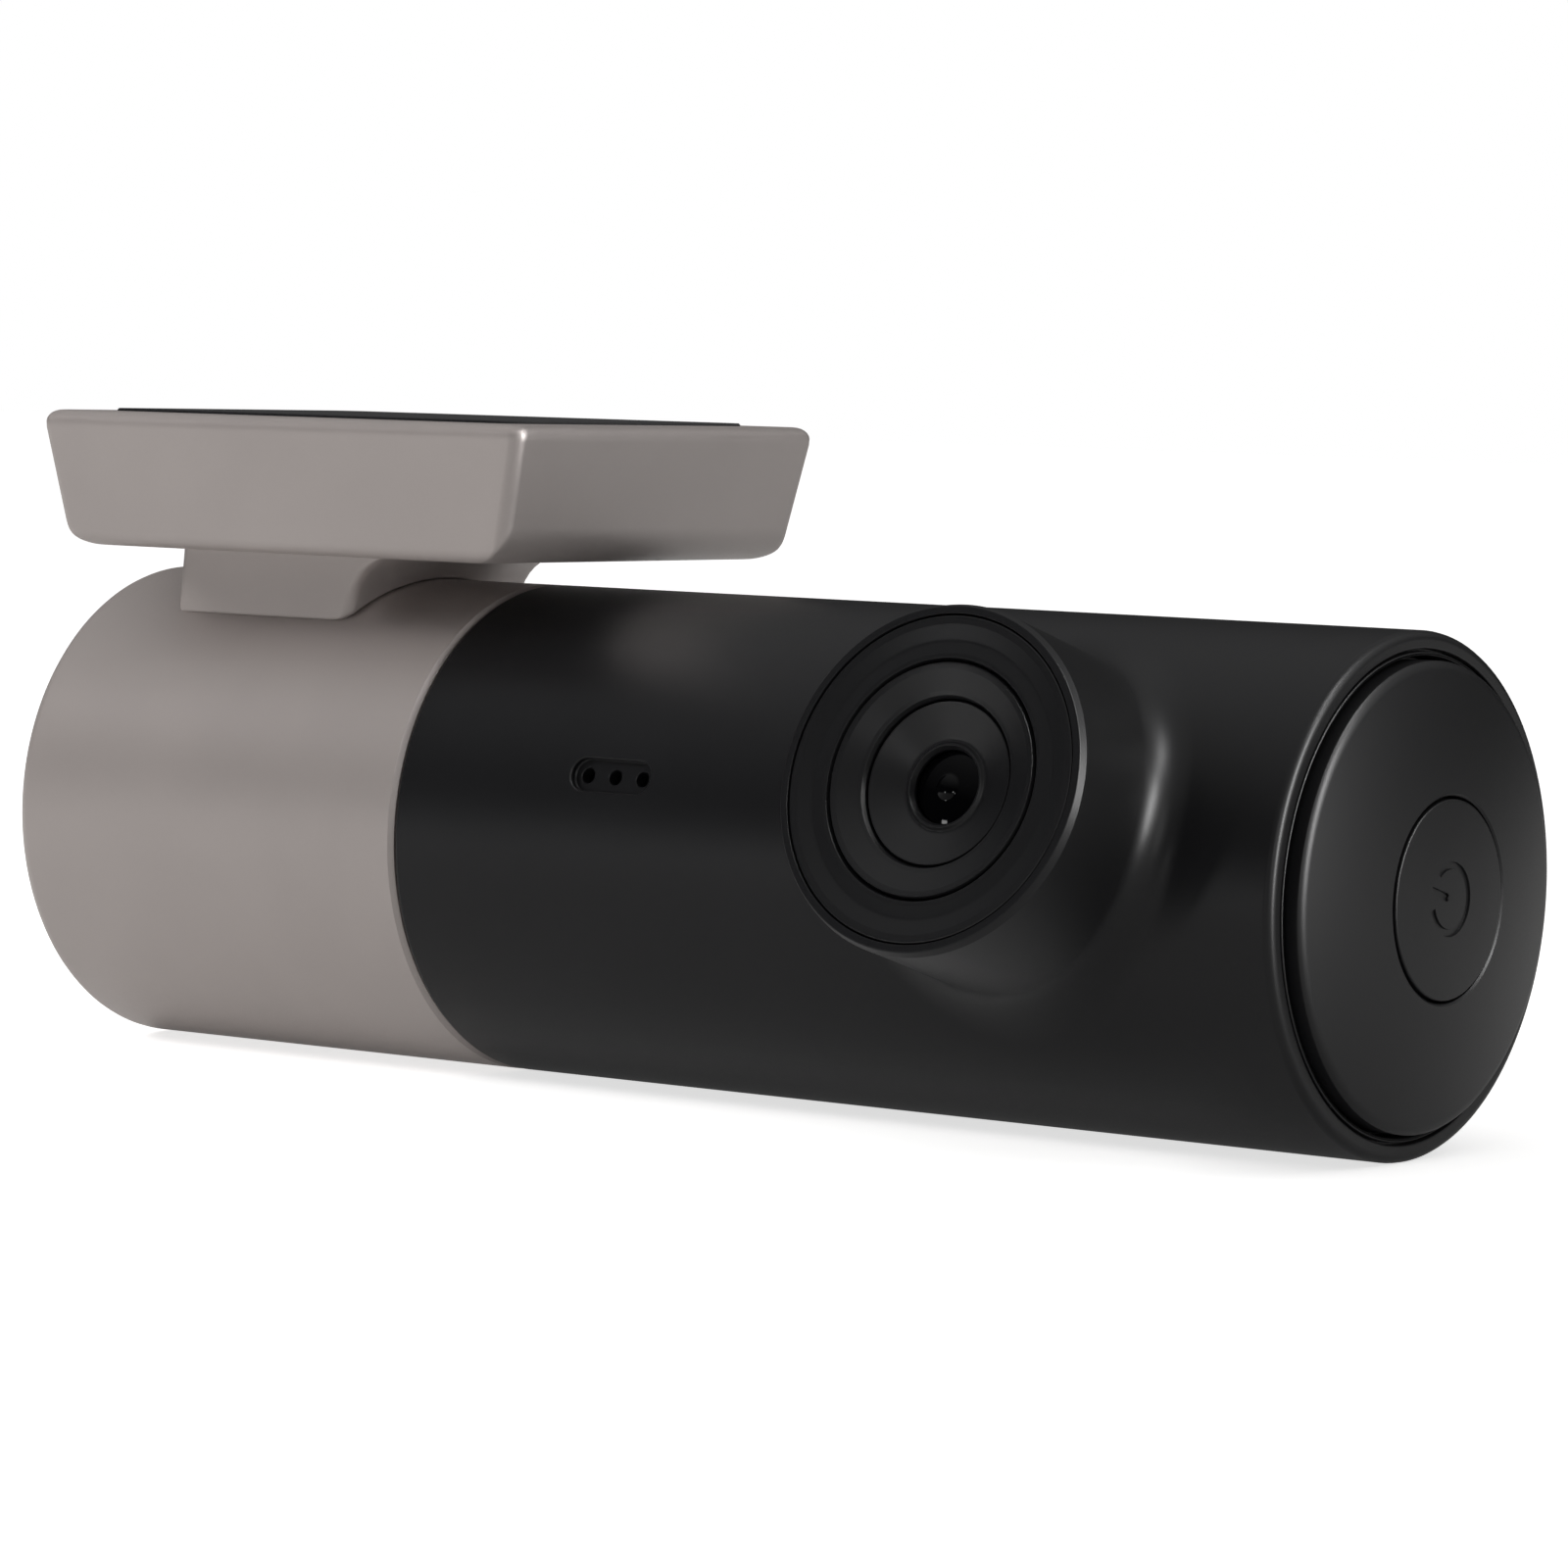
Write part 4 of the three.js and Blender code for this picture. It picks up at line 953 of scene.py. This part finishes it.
def build_lens():
    """The lens rings and the front element, all turned about the lens axis. The element's face is a slight
    dome, 0.3 r^2 lower at its edge, with a small bulge of 0.2 (1 - r^2) standing on its middle."""
    angles = full_turn(160)
    face = LENS_FACE
    trims = {
        "lens_bezel": [(8.2, 24.9, 0.05), (11.2, 24.9, 0.05), (11.2, face - 0.06, 0.12),
                       (10.6, face - 0.12, 0.3), (9.5, face - 0.34, 0.9), (8.6, face - 0.26, 0.3),
                       (8.33, face - 0.28, 0.03), (8.2, face - 0.56, 0.03)],
        "lens_inner_ring": [(5.78, 24.9, 0.05), (8.1, 24.9, 0.05), (8.1, face - 0.5, 0.03),
                            (7.98, face - 0.26, 0.03), (7.6, face - 0.34, 0.15), (6.2, face - 0.84, 0.15),
                            (5.92, face - 0.92, 0.03), (5.78, face - 1.22, 0.03)],
        "lens_face_plate": [(2.55, 24.95, 0.05), (5.7, 24.95, 0.05), (5.7, face - 1.5, 0.03),
                            (5.58, face - 1.26, 0.03), (3.2, 25.34, 0.3), (3.06, 25.36, 0.03),
                            (2.88, 25.56, 0.05), (2.76, 25.56, 0.05), (2.55, 25.2, 0.05)],
    }
    for name, corners in trims.items():
        make_piece(name + "_ring", [about_lens(rounded(corners, closed=True), angles)], "camera",
                   finish("lens_trim"), [name], crease=42)
    radius = np.concatenate([np.linspace(0, 0.9, 10), np.linspace(1.0, 2.5, 10)])
    glass_r, glass_top, bulge_r = 2.5, 25.15, 0.9
    bulge = 0.2 * np.clip(1 - (radius / bulge_r) ** 2, 0, 1)
    front = np.stack([radius, glass_top - 0.3 * (radius / glass_r) ** 2 + bulge], 1)
    step = rounded([(glass_r, 24.85, 0), (glass_r, 24.4, 0.05), (3.6, 23.3, 0.1), (3.6, 21.5, 0.1),
                    (0, 21.2, 0)])
    make_piece("lens_front_glass", [about_lens(np.concatenate([front, step[1:]]), full_turn(96))], "camera",
               finish("coated_glass"), ["lens_front_element"])


# The button end.

DOME_R = 62.8
CAP_R = 16.0
CAP_EDGE = 88.4
KEYHOLE_R = 7.16


def dome(radius):
    """Height along X of the end dome, a sphere's cap, at each distance from the axis."""
    return BUTTON[1][0] - DOME_R + np.sqrt(DOME_R ** 2 - np.asarray(radius) ** 2)


def build_end_cap():
    """The domed end cap: a chamfered disc with a round hole for the button, and its retaining skirt."""
    curve = np.linspace(CAP_R - 0.28, KEYHOLE_R, 24)
    top = np.stack([curve, dome(curve)], 1)
    inside = rounded([(KEYHOLE_R, dome(KEYHOLE_R), 0), (7.0, dome(7.0) - 0.14, 0.05), (7.0, 85.6, 0.1),
                      (8.3, 85.6, 0.1), (8.3, 87.6, 0.15), (14, 86.9, 0.2), (14, 82.5, 0.15),
                      (15.3, 82.5, 0.15), (15.3, 86, 0.1), (CAP_R, 86, 0.15), (CAP_R, CAP_EDGE - 0.2, 0.06),
                      (CAP_R - 0.28, dome(CAP_R - 0.28), 0)], steps=3)
    profile = np.concatenate([top, inside[1:]])
    make_piece("end_cap_dome", [about_x(profile, full_turn(180))], "camera",
               finish("black_satin"), ["end_cap"], crease=40)
    seal = rounded([(15.6, 84.4, 0.25), (16.15, 84.4, 0.25), (16.15, 85.6, 0.25), (15.6, 85.6, 0.25)],
                   closed=True)
    make_piece("end_cap_seal_ring", [about_x(seal, full_turn(120))], "camera",
               finish("rubber"), ["end_cap_seal"], crease=60)


def build_button():
    """The power button: the middle of the dome, with a power mark let into it. The mark is a ring that is
    open towards the lens and a bar through the opening. Polar lines run close together along its walls, and
    the lines beside the bar keep a fixed distance from its centre line, so its sides are parallel. The lines
    are then moved to the lens's side by aside (1 - (r / calm)^2), which is nothing from the radius `calm`
    on, so the mark sits a little off the middle."""
    depth, wall, aside, calm = 0.16, 0.04, 0.5, 4.5
    inner, outer, bar_in, bar_out, bar_half, gap = 2.05, 2.5, 0.35, 2.5, 0.23, math.radians(33)
    radii = np.array([0, 0.2, bar_in - wall, bar_in, 0.6, 0.9, 1.2, 1.5, 1.8, inner - wall, inner, 2.27,
                      outer, outer + wall, 2.9, 3.4, 4, 4.6, 5.2, 5.8, 6.3, 6.55])
    reach = np.maximum(radii, bar_in)
    bar = [np.arcsin(np.clip(w / reach, 0, 0.9)) for w in (bar_half, bar_half + wall)]
    whole, edge = 2 * math.pi, wall / 2.3
    fans = [bar[1] * (1 - share) + (gap - edge) * share for share in (0.33, 0.66)]
    # Each line is its angle at every radius, whether it lies in the bar, and whether it lies in the ring.
    lines = [(-bar[0], True, False), (0 * reach, True, False), (bar[0], True, False), (bar[1], False, False)]
    lines += [(fan, False, False) for fan in fans]
    lines.append((np.full(len(radii), gap - edge), False, False))
    lines += [(np.full(len(radii), turn), False, True) for turn in np.linspace(gap, whole - gap, 91)]
    lines.append((np.full(len(radii), whole - gap + edge), False, False))
    lines += [(whole - fan, False, False) for fan in reversed(fans)]
    lines.append((whole - bar[1], False, False))
    angles, inside_bar, inside_arc = zip(*lines)
    angle = np.stack(angles, 1)
    in_ring = (radii >= inner - 1e-9) & (radii <= outer + 1e-9)
    in_bar = (radii >= bar_in - 1e-9) & (radii <= bar_out + 1e-9)
    sunk = np.outer(in_ring, inside_arc) | np.outer(in_bar, inside_bar)
    radius = np.repeat(radii[:, None], angle.shape[1], 1)
    height = dome(radius) - depth * sunk
    shift = aside * np.clip(1 - (radius / calm) ** 2, 0, 1)
    top = np.stack([height, -radius * np.cos(angle) - shift, radius * np.sin(angle)], -1)
    side = rounded([(6.55, dome(6.55), 0), (6.8, dome(6.8), 0.12), (6.8, 85.3, 0.05), (7.9, 85.3, 0.1),
                    (7.9, 84.9, 0.1), (1.6, 84.9, 0.1), (1.6, 83.8, 0.1), (0, 83.8, 0)], steps=3)
    rest = about_x(side, angle[-1])
    make_piece("power_button_key", [np.concatenate([top, rest[1:]])], "power_button",
               finish("black_satin"), ["power_button"])


def build_card():
    """The memory card: a thin slab with the notch on one side."""
    (x0, y0, z0), (x1, y1, z1) = CARD
    length = z1 - z0
    outline = rounded([(x0, 0, 0.5), (x1, 0, 0.5), (x1, length - 5.5, 0.3), (x1 - 1, length - 4.5, 0.3),
                       (x1 - 1, length, 0.4), (x0, length, 0.4)], steps=4, closed=True)[:-1]
    middle = outline.mean(0)

    def ring(inset, y):
        towards = middle - outline
        flat = outline + towards / np.linalg.norm(towards, axis=1)[:, None] * inset
        return np.stack([flat[:, 0], y + 0 * flat[:, 0], z0 + flat[:, 1]], -1)

    low, high = ring(0.07, y0), ring(0.07, y1)
    point_low, point_high = low.mean(0) + 0 * low, high.mean(0) + 0 * high
    grids = [np.stack([point_low, low, ring(0, y0 + 0.07), ring(0, y1 - 0.07), high, point_high])]
    make_piece("memory_card_body", grids, "memory_card", finish("chip_epoxy"),
               ["memory_card"])


# What is inside stays as the CAD made it, in its own finish.

INSIDE = {
    "steel": ["bracket_screw_1", "bracket_screw_2", "bearing_screw_1", "bearing_screw_2", "bearing_screw_3",
              "usb_board_screw_1", "usb_board_screw_2", "wave_spring", "lens_holder_screw_1",
              "lens_holder_screw_2", "main_board_screw_1", "main_board_screw_2", "card_socket", "wifi_module",
              "microphone"],
    "glass_nylon": ["bearing_plate", "pivot_bulkhead", "inner_chassis", "lens_holder"],
    "circuit_board": ["usb_board", "switch_board", "sensor_board", "main_board", "microphone_board"],
    "connector_plastic": ["harness_header", "harness_plug", "sensor_connector"],
    "rubber": ["friction_washer", "thermal_pad", "microphone_gasket", "speaker_gasket"],
    "silicone_wire": ["wire_harness"],
    "brass": ["retaining_nut"],
    "aluminium": ["heat_spreader"],
    "chip_epoxy": ["tact_switch", "image_sensor", "processor", "memory_chip", "speaker"],
    "coated_glass": ["lens_middle_element", "lens_rear_element", "infrared_filter"],
    "lens_trim": ["lens_barrel"],
    "shrink_sleeve": ["supercapacitor_1", "supercapacitor_2"],
}


def paint_inside():
    """Gives every CAD node that is still shown its own finish."""
    for name, nodes in INSIDE.items():
        for node in nodes:
            materials = frame["nodes"][node].data.materials
            materials.clear()
            materials.append(finish(name))


# The stage.

def studio_floor():
    """Seamless pale paper: almost white, with the faint fibre of card. It glows a little, and more where the
    camera sees it, so that it stays white with only a thin shadow at the contact."""
    material, tree, shader = surface("seamless_studio_paper", Specular_IOR_Level=0.1, Roughness=0.9)
    fibre = noise(tree, 1.5, 3.0)
    tree.links.new(ramp(tree, fibre, [(0.3, linear("#F1F0EE")), (0.7, linear("#F7F6F5"))]),
                   shader.inputs["Base Color"])
    shader.inputs["Emission Color"].default_value = (1, 1, 1, 1)
    seen = add(tree, "ShaderNodeLightPath").outputs["Is Camera Ray"]
    tree.links.new(level_range(tree, seen, 0.16, 0.7), shader.inputs["Emission Strength"])
    return material


def studio_room(strength):
    """A room that is white where the camera sees it. As a light it is brightest overhead, dark just above
    the horizon, which keeps the middle of a black body black, and brighter at the front than the back."""
    world = bpy.data.worlds.new("studio_room")
    world.use_nodes = True
    tree = world.node_tree
    way = add(tree, "ShaderNodeTexCoord").outputs["Generated"]
    parts = add(tree, "ShaderNodeSeparateXYZ", {"Vector": way}).outputs
    upward = ramp(tree, parts["Z"], [(0, (0.3,) * 3), (0.02, (0.03,) * 3), (0.3, (0.04,) * 3),
                                     (0.57, (0.35,) * 3), (0.87, (0.95,) * 3), (1, (1.0,) * 3)])
    frontward = add(tree, "ShaderNodeMapRange", {"Value": parts["Y"], "From Min": -1, "From Max": 1,
                                                 "To Min": 1.25, "To Max": 0.5}).outputs["Result"]
    dome_light = add(tree, "ShaderNodeMix", {0: 1.0, 6: upward, 7: frontward},
                     data_type="RGBA", blend_type="MULTIPLY").outputs[2]
    direct = add(tree, "ShaderNodeLightPath").outputs["Is Camera Ray"]
    lit = add(tree, "ShaderNodeMix", {0: direct, 6: dome_light, 7: (1 / strength,) * 3 + (1,)},
              data_type="RGBA").outputs[2]
    background = tree.nodes["Background"]
    background.inputs["Strength"].default_value = strength
    tree.links.new(lit, background.inputs["Color"])
    return world


def build_stage():
    """A pale floor under the camera, soft lamps round it, and the viewpoint."""
    sizes = bpy.context.scene.dash_camera
    reach, level = 3.0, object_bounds()[0].z - sizes.floor_drop
    span = np.linspace(-reach, reach, 25)
    x, y = np.meshgrid(span, span, indexing="ij")
    points = np.stack([x, y, np.full_like(x, level)], -1)
    mesh = bpy.data.meshes.new("studio_floor")
    mesh.from_pydata(points.reshape(-1, 3).tolist(), [], grid_faces(x.shape, 0, False).tolist())
    mesh.materials.append(studio_floor())
    floor = bpy.data.objects.new("studio_floor", mesh)
    bpy.context.scene.collection.objects.link(floor)
    floor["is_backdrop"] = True

    scene = bpy.context.scene
    scene.view_settings.view_transform = "Standard"
    scene.world = studio_room(sizes.room_light)
    centre = Vector((0.03, 0, -0.03))
    lamps = [
        ("key", (-0.38, -0.27, 0.24), (0.22, 0.14), sizes.key_light, True, False),
        ("edge", (0.98, 0.08, 0.22), (0.16, 0.7), sizes.edge_light, False, True),
        ("edge_high", (0.6, 0.1, 0.8), (0.2, 0.4), 0.3 * sizes.edge_light, False, True),
        ("edge_front", (0.75, -0.62, 0.22), (0.1, 0.5), 0.06 * sizes.edge_light, False, True),
        ("fill", (0.53, 0.75, 0.6), (0.7, 0.7), sizes.fill_light, True, True),
        ("catch_left", (-0.5, -0.87, -0.01), (0.08, 0.08), sizes.catch_light, False, True),
        ("catch_right", (0.12, -0.98, 0.06), (0.08, 0.08), sizes.catch_light, False, True),
    ]
    for name, place, size, power, on_diffuse, on_glossy in lamps:
        light = bpy.data.lights.new(name, "AREA")
        light.shape = "RECTANGLE"
        light.size, light.size_y = size
        light.energy = power
        lamp = bpy.data.objects.new(name, light)
        lamp.location = place
        lamp.rotation_euler = (centre - Vector(place)).to_track_quat("-Z", "Y").to_euler()
        lamp.visible_diffuse, lamp.visible_glossy = on_diffuse, on_glossy
        scene.collection.objects.link(lamp)

    camera = bpy.data.cameras.new("view")
    camera.sensor_width = 36
    camera.lens = 148.9
    camera.shift_x, camera.shift_y = 0.0053, -0.0081
    camera.clip_start, camera.clip_end = 0.01, 20
    view = bpy.data.objects.new("view", camera)
    place, target = Vector((0.31375, -0.37417, 0.00509)), Vector((0.0340, -0.00081, -0.02476))
    turn = (target - place).to_track_quat("-Z", "Y").to_matrix().to_4x4()
    view.matrix_world = Matrix.Translation(place) @ turn @ Matrix.Rotation(math.radians(1.41), 4, "Z")
    scene.collection.objects.link(view)
    scene.camera = view


# The add-on's sizes, operators and panel.

class DashCameraSettings(bpy.types.PropertyGroup):
    """Sizes, colours and lamps that a user may change before building."""

    boss_foot: bpy.props.FloatProperty(
        name="Boss foot", description="Radius of the hollow at the boss's foot",
        default=0.0024, unit="LENGTH", subtype="DISTANCE")
    boss_rim: bpy.props.FloatProperty(
        name="Boss rim", description="Height of the chamfer round the boss's rim",
        default=0.00056, unit="LENGTH", subtype="DISTANCE")
    plate_rim: bpy.props.FloatProperty(
        name="Plate rim", description="Radius of the plate's upper edge",
        default=0.0011, unit="LENGTH", subtype="DISTANCE")
    grey_paint: bpy.props.FloatVectorProperty(
        name="Grey paint", description="Colour of the sleeve and bracket",
        default=linear("#A39B98"), size=3, subtype="COLOR")
    black_plastic: bpy.props.FloatVectorProperty(
        name="Black plastic", description="Colour of the housing",
        default=linear("#131315"), size=3, subtype="COLOR")
    floor_drop: bpy.props.FloatProperty(
        name="Floor drop", description="Gap between the camera and the floor",
        default=0.0, unit="LENGTH", subtype="DISTANCE")
    room_light: bpy.props.FloatProperty(
        name="Room light", description="Strength of the even light", default=0.9)
    key_light: bpy.props.FloatProperty(
        name="Key lamp", description="Power of the near lamp at the front left", default=1.4, unit="POWER")
    fill_light: bpy.props.FloatProperty(
        name="Fill lamp", description="Power of the soft lamp behind the cap", default=0.5, unit="POWER")
    catch_light: bpy.props.FloatProperty(
        name="Catch lamps", description="Power of the lens's small lamps", default=0.4, unit="POWER")
    edge_light: bpy.props.FloatProperty(
        name="Edge lamps", description="Power of the strips that line the edges", default=24.0, unit="POWER")


class DASHCAM_OT_housing(bpy.types.Operator):
    """Build the camera's tubular housing with its lens boss and holes"""
    bl_idname = "dashcam.housing"
    bl_label = "Housing"

    def execute(self, context):
        build_housing()
        return {"FINISHED"}


class DASHCAM_OT_mount(bpy.types.Operator):
    """Build the fixed sleeve, the bracket, its adhesive pad and the charging socket"""
    bl_idname = "dashcam.mount"
    bl_label = "Sleeve and bracket"

    def execute(self, context):
        build_sleeve()
        build_bracket()
        build_pad()
        build_usb()
        return {"FINISHED"}


class DASHCAM_OT_lens(bpy.types.Operator):
    """Build the lens rings and the front glass"""
    bl_idname = "dashcam.lens"
    bl_label = "Lens"

    def execute(self, context):
        build_lens()
        return {"FINISHED"}


class DASHCAM_OT_button_end(bpy.types.Operator):
    """Build the end cap, its seal, the power button and the memory card"""
    bl_idname = "dashcam.button_end"
    bl_label = "Button end and card"

    def execute(self, context):
        build_end_cap()
        build_button()
        build_card()
        return {"FINISHED"}


class DASHCAM_OT_inside(bpy.types.Operator):
    """Give the parts inside their finishes"""
    bl_idname = "dashcam.inside"
    bl_label = "Inner parts"

    def execute(self, context):
        paint_inside()
        return {"FINISHED"}


class DASHCAM_OT_stage(bpy.types.Operator):
    """Lay the floor and set up the lamps and the view"""
    bl_idname = "dashcam.stage"
    bl_label = "Stage"

    def execute(self, context):
        build_stage()
        return {"FINISHED"}


OPERATORS = [DASHCAM_OT_housing, DASHCAM_OT_mount, DASHCAM_OT_lens, DASHCAM_OT_button_end, DASHCAM_OT_inside,
             DASHCAM_OT_stage]


class DASHCAM_PT_panel(bpy.types.Panel):
    """The dash camera's pieces, in the order that they are built"""
    bl_idname = "DASHCAM_PT_panel"
    bl_label = "Dash camera"
    bl_space_type = "VIEW_3D"
    bl_region_type = "UI"
    bl_category = "Dash camera"

    def draw(self, context):
        for name in DashCameraSettings.__annotations__:
            self.layout.prop(context.scene.dash_camera, name)
        for operator in OPERATORS:
            self.layout.operator(operator.bl_idname)


CLASSES = [DashCameraSettings, *OPERATORS, DASHCAM_PT_panel]


def register():
    for cls in CLASSES:
        bpy.utils.register_class(cls)
    bpy.types.Scene.dash_camera = bpy.props.PointerProperty(type=DashCameraSettings)


def unregister():
    del bpy.types.Scene.dash_camera
    for cls in reversed(CLASSES):
        bpy.utils.unregister_class(cls)


def main():
    register()
    bpy.ops.dashcam.housing()
    bpy.ops.dashcam.mount()
    bpy.ops.dashcam.lens()
    bpy.ops.dashcam.button_end()
    bpy.ops.dashcam.inside()
    bpy.ops.dashcam.stage()


if __name__ == "__main__":
    main()
